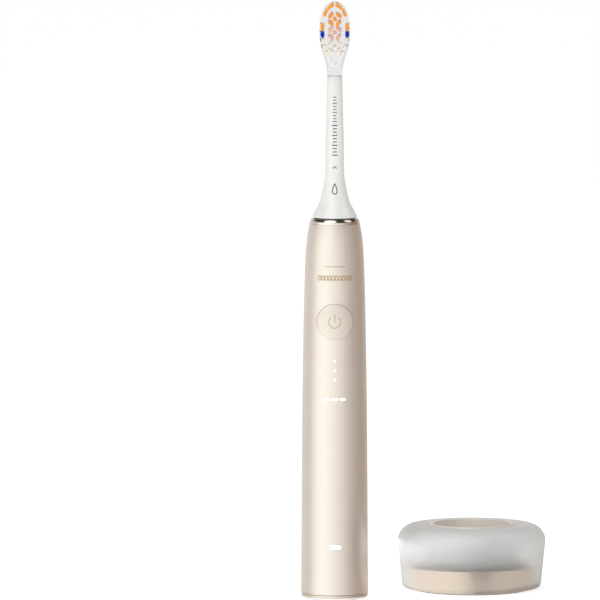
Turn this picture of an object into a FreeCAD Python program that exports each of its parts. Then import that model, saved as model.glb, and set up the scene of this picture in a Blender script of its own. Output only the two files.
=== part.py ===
"""Sonic toothbrush with its brush head, standing beside its induction charger. Millimetres, +Z up.

The origin is the centre of the handle's foot on the table. The bristles and the power button face -Y.
The charger stands to the right of the handle and a little behind it, with its well empty.
Every function builds one named piece in its assembled place, and PIECES at the end lists them all.
"""

import FreeCAD
import Part
import os
from math import cos, pi, radians, sin

V = FreeCAD.Vector

# ---------------------------------------------------------------- driving dimensions: handle
HANDLE_TOP_Z = 157.3         # top edge of the moulded shell
HANDLE_BASE_R = 14.05        # radius of the shell at its foot
HANDLE_MID_R = 13.65         # a little under half way up
HANDLE_GRIP_R = 12.97        # at the power button
HANDLE_SHOULDER_R = 12.24    # where the shoulder starts to round in
HANDLE_BROW_R = 11.5         # half way round the shoulder
HANDLE_TOP_R = 10.5          # at the trim ring
SHELL_WALL = 1.3
SHELL_FOOT_Z = 2.3           # bottom edge of the shell, above the end ring
SEAM = 0.1                   # visible gap between neighbouring covers

TRIM_HEIGHT = 2.1            # polished ring on top of the shell
TRIM_TAPER = 0.75            # the ring's top edge lies this far in from its lower edge
TRIM_EDGE = 0.15             # rounding of the ring's top edge
TRIM_SPIGOT_DEPTH = 4.5
TRIM_WALL = 0.55
SEAL_RIM = 1.4               # radial width of the shaft seal's rim

FOOT_STEP = 0.8              # face that stands on the table, in from the shell
FOOT_HEIGHT = 0.4
LIGHT_RING_HEIGHT = 0.6
LIGHT_RING_STEP = 0.25       # in from the shell
END_RING_STEP = 0.1          # in from the shell
CAP_FLOOR = 1.2
CAP_PLUG_Z = 9.0             # top of the end cap's plug
CAP_WALL = 1.4
CAP_CLEARANCE = 0.05
O_RING_SECTION_R = 0.55
O_RING_Z = 6.2

# ---------------------------------------------------------------- button and lights
BUTTON_R = 7.45
BUTTON_GAP = 0.1
BUTTON_DROP = 40.3           # button centre below the top of the shell
BUTTON_PROUD = 0.15          # rim of the button above the shell
BUTTON_CROWN = 0.8           # extra height at the middle of the button
BUTTON_FLANGE = 0.8          # retaining flange, radial width and thickness
BUTTON_TRAVEL = 0.6
ICON_R = 2.5                 # middle of the power mark's ring
ICON_STROKE = 0.45
ICON_DEPTH = 0.2
ICON_GAP_ANGLE = 36.0        # half of the ring's opening, degrees
ICON_BAR_TOP = 3.5
SEAL_WALL = 0.8              # elastomer gasket round the button
SEAL_GAP = 0.2

MODE_LIGHT_R = 0.5
MODE_LIGHT_DROP = 16.5       # first mode light below the button's centre
MODE_LIGHT_PITCH = 3.8
STATUS_LIGHT_DROP = 32.4     # status dashes below the button's centre
STATUS_DASH = (2.3, 0.9)     # width and height of one dash
STATUS_PITCH = 3.3
BATTERY_LIGHT_Z = 22.5
BATTERY_LIGHT = (4.0, 1.7)   # width and height of the battery mark
BATTERY_TIP = (0.6, 0.9)

# ---------------------------------------------------------------- inside the handle
FIT = 0.05                   # clearance between parts that only locate each other
RUNNING_FIT = 0.03           # radial clearance of a turning fit
FRAME_CLEARANCE = 0.15       # frame to shell
FRAME_WALL = 1.1
FRAME_SPINE_Y = 2.5          # the half tube covers the space behind this plane
BULKHEAD = 3.0
BOARD_HALF_WIDTH = 5.5
BOARD_THICKNESS = 0.9
SWITCH_SIDE = 4.6
SWITCH_HEIGHT = 1.3
SWITCH_STEM = 1.57           # button flange to the face of the switch
PLUNGER_R = 0.9
SCREW_R = 0.8

BATTERY_LENGTH = 50.0
CELL_TO_BOARD = 2.0          # room for the board's chips in front of the cell
CONTACT_THICKNESS = 0.5

SHAFT_R = 1.9
SHAFT_OUT = 20.0             # length that stands out of the trim ring
SHAFT_FLAT_DEPTH = 0.5       # cut from the shaft's side for the D section
GROOVE_DEPTH = 0.3
BUSH_WALL = 2.2
BUSH_LENGTH = 4.0
HEAD_RING_DROP = 7.0         # top of the frame's head ring below the shell's top
HEAD_RING_HEIGHT = 6.5
SPRING_HUB_R = 3.4
SPRING_HEIGHT = 4.0
SPRING_LEAF = 0.4
SPRING_SPREAD = 5.2          # half distance between the two leaves at the frame
ROTOR_WIDTH = 12.0
ROTOR_DEPTH = 9.0
YOKE_HEIGHT = 5.0
MAGNET = (4.4, 8.0, 3.0)
AIR_GAP = 0.6
STATOR_HEIGHT = 16.0
STATOR_WIDTH = 14.0
STATOR_DEPTH = 8.0
STATOR_LEG = 2.2
COIL_HEIGHT = 10.0
MOTOR_PAD = 1.0

# ---------------------------------------------------------------- brush head
HEAD_GAP = 0.4               # brush skirt above the trim ring
SKIRT_STEP = 0.25            # brush skirt in from the trim ring
NECK_R = 3.6                 # half width at the middle of the neck
NECK_LENGTH = 59.2           # skirt edge to the clear plate
NECK_WALL = 1.0
SOCKET_WALL = 1.0
SOCKET_ROOF = 1.2
FLANGE_RISE = 2.2            # socket's flange above the skirt's edge
CLIP_THICKNESS = 0.4
CLIP_HEIGHT = 2.4
CLIP_DROP = 9.0              # clip below the shaft's end
TAG_THICKNESS = 0.7
PLATE_LENGTH = 31.0
PLATE_HALF_WIDTH = 6.4
PLATE_THICKNESS = 5.0
PLATE_EDGE = 1.1             # rounding of the plate's edges
TONGUE_LENGTH = 7.0
TUFT_ROOT = 1.6              # depth of a tuft's hole in the plate
TUFT_HEIGHT = 9.6            # free length of the outer tufts
CROSS_EXTRA = 0.9            # the middle groups stand this much higher
CROSS_REACH = 0.37           # four tufts round a middle one, this far out, in field units
CROSS_TWIST = 8.0            # turn of those tufts out of a plain diamond, degrees

# ---------------------------------------------------------------- charger
CHARGER_X = 58.0
CHARGER_Y = 30.0
CHARGER_HEIGHT = 27.6
TOP_LAND = 6.1               # flat top between the liner's lip and the shoulder
CHARGER_TAPER = 1.8          # foot in from the widest radius
SHOULDER_DEPTH = 6.8         # height of the rounded shoulder
SHOULDER_WIDTH = 7.0
CHARGER_EDGE = 2.4           # rounding of the lower edge
CHARGER_WALL = 2.8
PAD_FOOT = 0.8               # rubber foot below the body
WELL_GAP = 2.15              # handle to well wall
LINER_WALL = 0.8
LINER_LIP = 1.1              # lip beyond the liner's tube
LINER_LIP_HEIGHT = 0.7
DECK_Z = 10.3                # top of the metallic base cup
CUP_WALL = 1.2
WELL_FLOOR_Z = 12.5
BASE_PLATE = 1.5
SCREW_INSET = 5.05           # screws in from the base cup's side
BOSS_R = 2.3
CHARGER_SCREW_R = 0.9
SCREW_HEAD_R = 1.7
GLAND_R = 2.4
GLAND_BORE_R = 1.6
GLAND_Z = 5.6
GLAND_OUT = 1.6

# ---------------------------------------------------------------- sizes worked out from those above
TRIM_Z = HANDLE_TOP_Z + SEAM
TRIM_TOP_Z = TRIM_Z + TRIM_HEIGHT
TRIM_TOP_R = HANDLE_TOP_R - TRIM_TAPER
TRIM_SPIGOT_R = HANDLE_TOP_R - SHELL_WALL - CAP_CLEARANCE
SEAL_RIM_R = TRIM_SPIGOT_R - TRIM_WALL - FIT
SEAL_RIM_INNER_R = SEAL_RIM_R - SEAL_RIM
BUTTON_Z = HANDLE_TOP_Z - BUTTON_DROP
HANDLE_LINE = [
    (SHELL_FOOT_Z, HANDLE_BASE_R),
    (0.46 * HANDLE_TOP_Z, HANDLE_MID_R),
    (BUTTON_Z, HANDLE_GRIP_R),
    (HANDLE_TOP_Z - 15.1, HANDLE_SHOULDER_R),
    (HANDLE_TOP_Z - 5.5, HANDLE_BROW_R),
    (HANDLE_TOP_Z, HANDLE_TOP_R),
]


def handle_curve(inset):
    """Smooth half-section of the shell's outside, moved in by inset."""
    curve = Part.BSplineCurve()
    curve.interpolate([V(r - inset, 0, z) for z, r in HANDLE_LINE])
    return curve


def handle_radius(z):
    """Outer radius of the shell at height z."""
    level = min(max(z, SHELL_FOOT_Z), HANDLE_TOP_Z)
    across = Part.Line(V(0, 0, level), V(1, 0, level))
    return max(point.X for point in handle_curve(0).intersect(across))


HEAD_RING_TOP = HANDLE_TOP_Z - HEAD_RING_DROP
HEAD_RING_Z = HEAD_RING_TOP - HEAD_RING_HEIGHT
FRAME_FOOT_Z = CAP_PLUG_Z
FRAME_R = min(handle_radius(FRAME_FOOT_Z), handle_radius(HEAD_RING_TOP)) - SHELL_WALL - FRAME_CLEARANCE
FRAME_INNER_R = FRAME_R - FRAME_WALL
CAP_R = handle_radius(CAP_PLUG_Z) - SHELL_WALL - CAP_CLEARANCE
BUSH_R = SHAFT_R + BUSH_WALL

GRIP_INNER_R = HANDLE_GRIP_R - SHELL_WALL
BOARD_FRONT = -(GRIP_INNER_R - SEAM - BUTTON_FLANGE - SWITCH_HEIGHT - SWITCH_STEM)
BOARD_BACK = BOARD_FRONT + BOARD_THICKNESS

BATTERY_R = (FRAME_INNER_R - FIT - BOARD_BACK - CELL_TO_BOARD) / 2
BATTERY_Z = FRAME_FOOT_Z + BULKHEAD + CONTACT_THICKNESS
BATTERY_TOP_Z = BATTERY_Z + BATTERY_LENGTH
BATTERY_Y = FRAME_INNER_R - BATTERY_R - FIT
BATTERY_BULKHEAD_Z = BATTERY_TOP_Z + CONTACT_THICKNESS

SPRING_Z = HEAD_RING_Z - 1.0 - SPRING_HEIGHT
LOWER_BUSH_Z = SPRING_Z - 1.0 - BULKHEAD
ROTOR_TOP_Z = LOWER_BUSH_Z - 1.5
YOKE_Z = ROTOR_TOP_Z - YOKE_HEIGHT
MAGNET_Z = YOKE_Z - MAGNET[2]
STATOR_TOP_Z = MAGNET_Z - AIR_GAP
STATOR_Z = STATOR_TOP_Z - STATOR_HEIGHT
MOTOR_BULKHEAD_Z = STATOR_Z - MOTOR_PAD - BULKHEAD
BOARD_LOW_Z = FRAME_FOOT_Z
BOARD_TOP_Z = BUTTON_Z + 8.0

SKIRT_Z = TRIM_TOP_Z + HEAD_GAP
SHAFT_TOP_Z = TRIM_TOP_Z + SHAFT_OUT
SHAFT_FLAT = SHAFT_R - SHAFT_FLAT_DEPTH
SKIRT_R = TRIM_TOP_R - SKIRT_STEP
FLANGE_Z = SKIRT_Z + FLANGE_RISE
FLANGE_R = SKIRT_R - NECK_WALL - 1.9
CLIP_Z = SHAFT_TOP_Z - CLIP_DROP
SOCKET_R = SHAFT_R + FIT + SOCKET_WALL
SOCKET_TOP_Z = SHAFT_TOP_Z + 0.5 + SOCKET_ROOF
NECK_TOP_Z = SKIRT_Z + NECK_LENGTH
PLATE_FRONT = -PLATE_THICKNESS / 2
FIELD_Z = NECK_TOP_Z + 0.613 * PLATE_LENGTH  # centre of the bristle field
FIELD_UNIT = min(PLATE_HALF_WIDTH, PLATE_LENGTH / 5)  # half width that the tufts are laid out in

WELL_R = HANDLE_BASE_R + WELL_GAP
LINER_R = WELL_R + LINER_WALL
LIP_R = LINER_R + LINER_LIP
CHARGER_R = LIP_R + TOP_LAND + SHOULDER_WIDTH
CHARGER_FOOT_R = CHARGER_R - CHARGER_TAPER
CUP_R = CHARGER_FOOT_R - CHARGER_WALL - FIT
SCREW_CIRCLE_R = CUP_R - SCREW_INSET
COIL_ROOM_R = SCREW_CIRCLE_R - BOSS_R - 0.3
HALF_TURN = cos(radians(45)) # where a quarter round is half turned, as a share of its radius
CHARGER_AT = V(CHARGER_X, CHARGER_Y, 0)


# ---------------------------------------------------------------- shape helpers
def rod(radius, z_low, z_high, x=0.0, y=0.0):
    """A plain upright cylinder."""
    return Part.makeCylinder(radius, z_high - z_low, V(x, y, z_low))


def tube(outer, inner, z_low, z_high, x=0.0, y=0.0):
    """An upright tube."""
    return rod(outer, z_low, z_high, x, y).cut(rod(inner, z_low, z_high, x, y))


def block(x_low, x_high, y_low, y_high, z_low, z_high):
    """A box between two corners."""
    return Part.makeBox(x_high - x_low, y_high - y_low, z_high - z_low, V(x_low, y_low, z_low))


def front_rod(radius, z, y_low, y_high, x=0.0):
    """A cylinder along Y at height z."""
    return Part.makeCylinder(radius, y_high - y_low, V(x, y_low, z), V(0, 1, 0))


def turned(edges):
    """The solid that a closed line of edges in the XZ plane sweeps about the Z axis."""
    wire = Part.Wire(Part.__sortEdges__(edges))
    return Part.Face(wire).revolve(V(0, 0, 0), V(0, 0, 1), 360)


def turned_polygon(points):
    """The solid of revolution whose half section has these (radius, z) corners."""
    corners = [V(r, 0, z) for r, z in points]
    return turned(Part.makePolygon(corners + corners[:1]).Edges)


def line(start, end):
    """A straight edge between two (radius, z) points of a half section."""
    return Part.makeLine(V(start[0], 0, start[1]), V(end[0], 0, end[1]))


def arc(start, middle, end):
    """A circular edge through three (radius, z) points of a half section."""
    points = [V(r, 0, z) for r, z in (start, middle, end)]
    return Part.Arc(*points).toShape()


def stadium(width, height, x, z, turn, y_low, y_high):
    """A bar with round ends, its long side turned from X by turn degrees, pushed along Y."""
    half = (width - height) / 2
    bar = front_rod(height / 2, 0, y_low, y_high, -half)
    bar = bar.fuse(front_rod(height / 2, 0, y_low, y_high, half))
    bar = bar.fuse(block(-half, half, y_low, y_high, -height / 2, height / 2)).removeSplitter()
    bar.rotate(V(0, 0, 0), V(0, 1, 0), -turn)
    bar.translate(V(x, 0, z))
    return bar


def to_charger(shape):
    """Moves a piece built about the Z axis to the charger's place."""
    shape.translate(CHARGER_AT)
    return shape


def group(solids):
    """Several separate solids in one node."""
    return Part.makeCompound(solids)


# ---------------------------------------------------------------- handle covers
def handle_form(inset):
    """The closed form of the handle's side, with its surface moved in by inset."""
    foot = (HANDLE_BASE_R - inset, SHELL_FOOT_Z)
    top = (HANDLE_TOP_R - inset, HANDLE_TOP_Z)
    axis_top, axis_foot = (0, HANDLE_TOP_Z), (0, SHELL_FOOT_Z)
    side = handle_curve(inset).toShape()
    return turned([side, line(top, axis_top), line(axis_top, axis_foot), line(axis_foot, foot)])


def wall_plug(prism):
    """The part of the shell's wall that lies inside a prism."""
    return prism.common(handle_form(0)).cut(handle_form(SHELL_WALL))


def mode_light_prisms():
    """Three round windows in a column under the button."""
    first = BUTTON_Z - MODE_LIGHT_DROP
    return [front_rod(MODE_LIGHT_R, first - i * MODE_LIGHT_PITCH, -HANDLE_BASE_R - 1, 0) for i in range(3)]


def status_light_prisms():
    """Three short dashes in a row."""
    z = BUTTON_Z - STATUS_LIGHT_DROP
    width, height = STATUS_DASH
    return [stadium(width, height, i * STATUS_PITCH, z, 0, -HANDLE_BASE_R - 1, 0) for i in (-1, 0, 1)]


def battery_light_prism():
    """A small battery outline: a block and its terminal."""
    width, height = BATTERY_LIGHT
    tip, tip_height = BATTERY_TIP
    low, tip_low = BATTERY_LIGHT_Z - height / 2, BATTERY_LIGHT_Z - tip_height / 2
    body = block(-width / 2, width / 2, -HANDLE_BASE_R - 1, 0, low, low + height)
    end = block(width / 2, width / 2 + tip, -HANDLE_BASE_R - 1, 0, tip_low, tip_low + tip_height)
    return body.fuse(end).removeSplitter()


def handle_shell():
    """Moulded tube that holds everything, with the button hole and the light windows."""
    shell = handle_form(0).cut(handle_form(SHELL_WALL))
    shell = shell.cut(front_rod(BUTTON_R + BUTTON_GAP, BUTTON_Z, -HANDLE_BASE_R - 2, 0))
    for prism in mode_light_prisms() + status_light_prisms() + [battery_light_prism()]:
        shell = shell.cut(prism)
    return shell


def mode_lights():
    """Light guides that fill the mode windows."""
    return group([wall_plug(p) for p in mode_light_prisms()])


def status_lights():
    """Light guides that fill the status dashes."""
    return group([wall_plug(p) for p in status_light_prisms()])


def battery_light():
    """Light guide that fills the battery mark."""
    return wall_plug(battery_light_prism())


def top_trim_ring():
    """Polished ring that closes the shell's top edge and holds the shaft seal."""
    spigot_r = TRIM_SPIGOT_R
    bore_r = spigot_r - TRIM_WALL
    belly = (HANDLE_TOP_R - 0.26 * TRIM_TAPER, TRIM_Z + 0.53 * TRIM_HEIGHT)
    brow = (TRIM_TOP_R, TRIM_TOP_Z - TRIM_EDGE)
    brow_mid = (TRIM_TOP_R - 0.3 * TRIM_EDGE, TRIM_TOP_Z - 0.3 * TRIM_EDGE)
    brow_end = (TRIM_TOP_R - TRIM_EDGE, TRIM_TOP_Z)
    edges = [
        arc((HANDLE_TOP_R, TRIM_Z), belly, brow),
        arc(brow, brow_mid, brow_end),
        line(brow_end, (bore_r, TRIM_TOP_Z)),
        line((bore_r, TRIM_TOP_Z), (bore_r, TRIM_Z - TRIM_SPIGOT_DEPTH)),
        line((bore_r, TRIM_Z - TRIM_SPIGOT_DEPTH), (spigot_r, TRIM_Z - TRIM_SPIGOT_DEPTH)),
        line((spigot_r, TRIM_Z - TRIM_SPIGOT_DEPTH), (spigot_r, TRIM_Z)),
        line((spigot_r, TRIM_Z), (HANDLE_TOP_R, TRIM_Z)),
    ]
    return turned(edges)


def shaft_seal():
    """Elastomer diaphragm between the trim ring and the drive shaft."""
    rim_r = SEAL_RIM_R
    low = HEAD_RING_TOP
    lip_r = SHAFT_R + 1.2
    bore_r = SHAFT_R + RUNNING_FIT
    top = TRIM_TOP_Z
    return turned_polygon([
        (rim_r, low), (rim_r, top - 0.6), (rim_r - 0.6, top - 0.3), (SEAL_RIM_INNER_R, top - 0.9),
        (lip_r + 0.6, top - 0.9), (lip_r, top - 0.2), (bore_r, top - 0.1), (bore_r, top - 2.6),
        (lip_r, top - 2.6), (lip_r + 0.6, top - 1.9), (SEAL_RIM_INNER_R, top - 1.9), (SEAL_RIM_INNER_R, low),
    ])


def end_cap():
    """Plug that closes the foot of the handle and stands on the table."""
    floor_r = CAP_R - CAP_WALL
    foot_r = HANDLE_BASE_R - FOOT_STEP
    groove_r = handle_radius(O_RING_Z) - SHELL_WALL - 2 * O_RING_SECTION_R
    cup = turned_polygon([
        (0, 0), (foot_r - 0.3, 0), (foot_r, 0.3), (foot_r, FOOT_HEIGHT), (CAP_R, FOOT_HEIGHT),
        (CAP_R, CAP_PLUG_Z), (floor_r, CAP_PLUG_Z), (floor_r, CAP_FLOOR), (0, CAP_FLOOR),
    ])
    groove_half = O_RING_SECTION_R + 0.15
    return cup.cut(tube(CAP_R + 1, groove_r, O_RING_Z - groove_half, O_RING_Z + groove_half))


def end_cap_seal():
    """O-ring between the end cap and the shell."""
    middle_r = handle_radius(O_RING_Z) - SHELL_WALL - O_RING_SECTION_R - CAP_CLEARANCE / 2
    return Part.makeTorus(middle_r, O_RING_SECTION_R - CAP_CLEARANCE, V(0, 0, O_RING_Z))


def light_ring():
    """Translucent ring that glows under the handle."""
    low = FOOT_HEIGHT
    return tube(HANDLE_BASE_R - LIGHT_RING_STEP, CAP_R + FIT, low, low + LIGHT_RING_HEIGHT)


def end_ring():
    """Coloured ring between the light ring and the shell."""
    low = FOOT_HEIGHT + LIGHT_RING_HEIGHT
    high = SHELL_FOOT_Z - SEAM
    outer_r = HANDLE_BASE_R - END_RING_STEP
    ring = tube(outer_r, CAP_R + FIT, low, high)
    rims = [e for e in ring.Edges if len(e.Vertexes) == 1 and abs(e.Curve.Radius - outer_r) < 1e-6]
    return ring.makeFillet(0.2, rims)


# ---------------------------------------------------------------- power button
def button_form(inset):
    """The crowned form that the button's face is cut from, moved in by inset."""
    face_r = HANDLE_GRIP_R + BUTTON_PROUD - inset
    low, high = BUTTON_Z - BUTTON_R - 1, BUTTON_Z + BUTTON_R + 1
    slope = (handle_radius(high) - handle_radius(low)) / 2
    return turned([
        arc((face_r - slope, low), (face_r + BUTTON_CROWN, BUTTON_Z), (face_r + slope, high)),
        line((face_r + slope, high), (0, high)),
        line((0, high), (0, low)),
        line((0, low), (face_r - slope, low)),
    ])


def icon_prisms():
    """The power mark: an open ring and a bar."""
    reach = HANDLE_BASE_R + 2
    ring = front_rod(ICON_R + ICON_STROKE / 2, BUTTON_Z, -reach, 0)
    ring = ring.cut(front_rod(ICON_R - ICON_STROKE / 2, BUTTON_Z, -reach, 0))
    side = 2 * ICON_R * sin(radians(ICON_GAP_ANGLE))
    mouth = Part.Face(Part.makePolygon([
        V(0, -reach, BUTTON_Z), V(side, -reach, BUTTON_Z + 2 * ICON_R * cos(radians(ICON_GAP_ANGLE))),
        V(-side, -reach, BUTTON_Z + 2 * ICON_R * cos(radians(ICON_GAP_ANGLE))), V(0, -reach, BUTTON_Z),
    ])).extrude(V(0, reach, 0))
    bar = stadium(ICON_BAR_TOP, ICON_STROKE, 0, BUTTON_Z + ICON_BAR_TOP / 2, 90, -reach, 0)
    return [ring.cut(mouth), bar]


def power_button():
    """Crowned push button with a retaining flange behind the shell and a stem for the switch."""
    cap = front_rod(BUTTON_R, BUTTON_Z, -HANDLE_BASE_R - 2, 0).common(button_form(0))
    back = handle_form(SHELL_WALL + SEAM + BUTTON_FLANGE)
    cap = cap.cut(back)
    flange = front_rod(BUTTON_R + BUTTON_FLANGE, BUTTON_Z, -HANDLE_BASE_R - 2, 0)
    flange = flange.common(handle_form(SHELL_WALL + SEAM)).cut(back)
    stem_tip = BOARD_FRONT - SWITCH_HEIGHT - SWITCH_STEM / 2
    stem = front_rod(1.6, BUTTON_Z, -HANDLE_GRIP_R + 0.8, stem_tip)
    button = cap.fuse([flange, stem]).removeSplitter()
    for mark in icon_prisms():
        button = button.cut(mark.common(button_form(0)).cut(button_form(ICON_DEPTH)))
    return button


def power_icon():
    """Inlay that fills the engraved power mark."""
    return group([mark.common(button_form(0.04)).cut(button_form(ICON_DEPTH)) for mark in icon_prisms()])


def button_gasket():
    """Elastomer ring inside the shell round the button's flange."""
    inner = BUTTON_R + BUTTON_FLANGE + SEAL_GAP
    ring = front_rod(inner + SEAL_WALL, BUTTON_Z, -HANDLE_BASE_R - 2, 0)
    ring = ring.cut(front_rod(inner, BUTTON_Z, -HANDLE_BASE_R - 2, 0))
    return ring.common(handle_form(SHELL_WALL)).cut(handle_form(SHELL_WALL + SEAL_WALL))


def switch_body():
    """Tactile switch on the board, with the pocket that its plunger works in."""
    half = SWITCH_SIDE / 2
    face = BOARD_FRONT - SWITCH_HEIGHT
    body = block(-half, half, face, BOARD_FRONT, BUTTON_Z - half, BUTTON_Z + half)
    return body.cut(front_rod(PLUNGER_R + FIT, BUTTON_Z, face, BOARD_FRONT - 0.15))


def switch_plunger():
    """Plunger between the button's stem and the switch."""
    tip = BOARD_FRONT - 0.15 - BUTTON_TRAVEL - 0.1
    return front_rod(PLUNGER_R, BUTTON_Z, BOARD_FRONT - SWITCH_HEIGHT - SWITCH_STEM / 2, tip)


# ---------------------------------------------------------------- frame, board and battery
def frame_disc(z_low, z_high, radius=FRAME_R):
    """A bulkhead that stops short of the circuit board."""
    disc = rod(radius, z_low, z_high)
    return disc.common(block(-radius, radius, BOARD_BACK, radius, z_low, z_high))


def frame_screw_heights():
    """Heights of the screws that hold the board to the frame."""
    return (FRAME_FOOT_Z + BULKHEAD / 2, MOTOR_BULKHEAD_Z + BULKHEAD / 2)


def inner_frame():
    """Moulded spine with bulkheads for the battery, the motor and the shaft."""
    spine = tube(FRAME_R, FRAME_INNER_R, FRAME_FOOT_Z, HEAD_RING_TOP)
    spine = spine.common(block(-FRAME_R, FRAME_R, FRAME_SPINE_Y, FRAME_R, FRAME_FOOT_Z, HEAD_RING_TOP))
    shelves = [frame_disc(z, z + BULKHEAD) for z in (BATTERY_BULKHEAD_Z, MOTOR_BULKHEAD_Z, LOWER_BUSH_Z)]
    foot_r = handle_radius(FRAME_FOOT_Z + BULKHEAD) - SHELL_WALL - FRAME_CLEARANCE
    shelves.append(frame_disc(FRAME_FOOT_Z, FRAME_FOOT_Z + BULKHEAD, foot_r))
    ring = rod(FRAME_R, HEAD_RING_Z, HEAD_RING_TOP)
    frame = spine.fuse(shelves + [ring]).removeSplitter()
    frame = frame.cut(rod(BUSH_R, LOWER_BUSH_Z - 0.1, HEAD_RING_TOP + 0.1))
    for z in frame_screw_heights():
        frame = frame.cut(front_rod(SCREW_R, z, BOARD_BACK - 0.1, BOARD_BACK + 5))
    return frame


def shaft_bush(z_low, z_high):
    """Plain bush that the shaft turns in."""
    return tube(BUSH_R, SHAFT_R + RUNNING_FIT, z_low, z_high)


def upper_bush():
    """Bush in the frame's head ring."""
    return shaft_bush(HEAD_RING_TOP - BUSH_LENGTH, HEAD_RING_TOP)


def lower_bush():
    """Bush in the bulkhead over the rotor."""
    return shaft_bush(LOWER_BUSH_Z, LOWER_BUSH_Z + BULKHEAD)


def main_board():
    """Circuit board along the front of the frame."""
    board = block(-BOARD_HALF_WIDTH, BOARD_HALF_WIDTH, BOARD_FRONT, BOARD_BACK, BOARD_LOW_Z, BOARD_TOP_Z)
    for z in frame_screw_heights():
        board = board.cut(front_rod(SCREW_R + FIT, z, BOARD_FRONT - 1, BOARD_BACK + 1))
    return board


def board_parts():
    """Chips behind the board, and one light source for each window."""
    low = BATTERY_BULKHEAD_Z + BULKHEAD + 2
    high = MOTOR_BULKHEAD_Z - 2
    room = (high - low) / 3
    parts = []
    for i, (half_width, height) in enumerate(((3.5, 0.9), (2.5, 1.2), (4.0, 1.0))):
        middle = low + (i + 0.5) * room
        reach = min(3.0, 0.4 * room)
        low_z, high_z = middle - reach, middle + reach
        parts.append(block(-half_width, half_width, BOARD_BACK, BOARD_BACK + height, low_z, high_z))
    first = BUTTON_Z - MODE_LIGHT_DROP
    sources = [(0, first - i * MODE_LIGHT_PITCH) for i in range(3)]
    sources += [(i * STATUS_PITCH, BUTTON_Z - STATUS_LIGHT_DROP) for i in (-1, 0, 1)]
    sources += [(0, BATTERY_LIGHT_Z)]
    for x, z in sources:
        parts.append(block(x - 0.8, x + 0.8, BOARD_FRONT - 0.8, BOARD_FRONT, z - 0.5, z + 0.5))
    return group(parts)


def frame_screws():
    """Two small pan-head screws through the board."""
    screws = []
    for z in frame_screw_heights():
        head = front_rod(1.5, z, BOARD_FRONT - 0.8, BOARD_FRONT)
        slot = block(-1.5, 1.5, BOARD_FRONT - 0.9, BOARD_FRONT - 0.4, z - 0.2, z + 0.2)
        shank = front_rod(SCREW_R, z, BOARD_FRONT, BOARD_BACK + 4)
        screws.append(head.cut(slot).fuse(shank).removeSplitter())
    return group(screws)


def battery_cell():
    """Rechargeable round cell with its raised positive cap."""
    can = rod(BATTERY_R, BATTERY_Z, BATTERY_TOP_Z - 1.0, 0, BATTERY_Y)
    rims = [e for e in can.Edges if len(e.Vertexes) == 1]
    can = can.makeFillet(0.5, rims)
    return can.fuse(rod(2.8, BATTERY_TOP_Z - 1.2, BATTERY_TOP_Z, 0, BATTERY_Y)).removeSplitter()


def battery_contacts():
    """Spring-steel contacts at both ends of the cell, each with a tab to the board."""
    contacts = []
    for z in (BATTERY_Z - CONTACT_THICKNESS, BATTERY_TOP_Z):
        plate = rod(4.0, z, z + CONTACT_THICKNESS, 0, BATTERY_Y)
        tab = block(-1.5, 1.5, BOARD_BACK, BATTERY_Y, z, z + CONTACT_THICKNESS)
        contacts.append(plate.fuse(tab).removeSplitter())
    return group(contacts)


def receiver_coil():
    """Flat charging coil on the floor of the end cap."""
    return tube(CAP_R - CAP_WALL - 0.6, 4.0, CAP_FLOOR, CAP_FLOOR + 1.6)


def receiver_ferrite():
    """Ferrite disc over the charging coil."""
    return rod(CAP_R - CAP_WALL - 0.4, CAP_FLOOR + 1.7, CAP_FLOOR + 3.0)


# ---------------------------------------------------------------- sonic drive
def drive_shaft():
    """Steel shaft from the rotor to the brush head, with its flat and clip groove."""
    shaft = rod(SHAFT_R, YOKE_Z, SHAFT_TOP_Z)
    top = [e for e in shaft.Edges if len(e.Vertexes) == 1 and abs(e.BoundBox.ZMin - SHAFT_TOP_Z) < 1e-6]
    shaft = shaft.makeChamfer(0.4, top)
    shaft = shaft.cut(block(-SHAFT_R, SHAFT_R, -SHAFT_R, -SHAFT_FLAT, TRIM_TOP_Z + 2.0, SHAFT_TOP_Z))
    groove_z = CLIP_Z + 0.4
    return shaft.cut(tube(SHAFT_R + 1, SHAFT_R - GROOVE_DEPTH, groove_z, CLIP_Z + CLIP_HEIGHT - 0.4))


def spring_hub():
    """Collar that ties the shaft to its return spring."""
    return tube(SPRING_HUB_R, SHAFT_R, SPRING_Z, SPRING_Z + SPRING_HEIGHT)


def drive_spring():
    """Two leaves in a V from the collar to the frame's spine, which bend as the shaft turns."""
    leaves = []
    for side in (-1, 1):
        root_x, end_x = side * 1.2, side * SPRING_SPREAD
        corners = [
            (root_x - SPRING_LEAF / 2, 1.0), (root_x + SPRING_LEAF / 2, 1.0),
            (end_x + SPRING_LEAF / 2, FRAME_R), (end_x - SPRING_LEAF / 2, FRAME_R),
        ]
        low = SPRING_Z + 0.4
        outline = Part.makePolygon([V(x, y, low) for x, y in corners + corners[:1]])
        leaf = Part.Face(outline).extrude(V(0, 0, SPRING_HEIGHT - 0.8))
        leaf = leaf.cut(rod(SPRING_HUB_R, SPRING_Z, SPRING_Z + SPRING_HEIGHT))
        leaves.append(leaf.common(rod(FRAME_INNER_R, SPRING_Z, SPRING_Z + SPRING_HEIGHT)))
    return group(leaves)


def rotor_yoke():
    """Steel bar on the lower end of the shaft that carries the magnets."""
    bar = block(-ROTOR_WIDTH / 2, ROTOR_WIDTH / 2, -ROTOR_DEPTH / 2, ROTOR_DEPTH / 2, YOKE_Z, ROTOR_TOP_Z)
    return bar.cut(rod(SHAFT_R, YOKE_Z, ROTOR_TOP_Z))


def rotor_magnets():
    """Two magnets under the yoke, over the stator's legs."""
    width, depth, height = MAGNET
    middle = ROTOR_WIDTH / 2 - width / 2
    magnets = []
    top = MAGNET_Z + height
    for x in (-middle, middle):
        magnets.append(block(x - width / 2, x + width / 2, -depth / 2, depth / 2, MAGNET_Z, top))
    return group(magnets)


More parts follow.
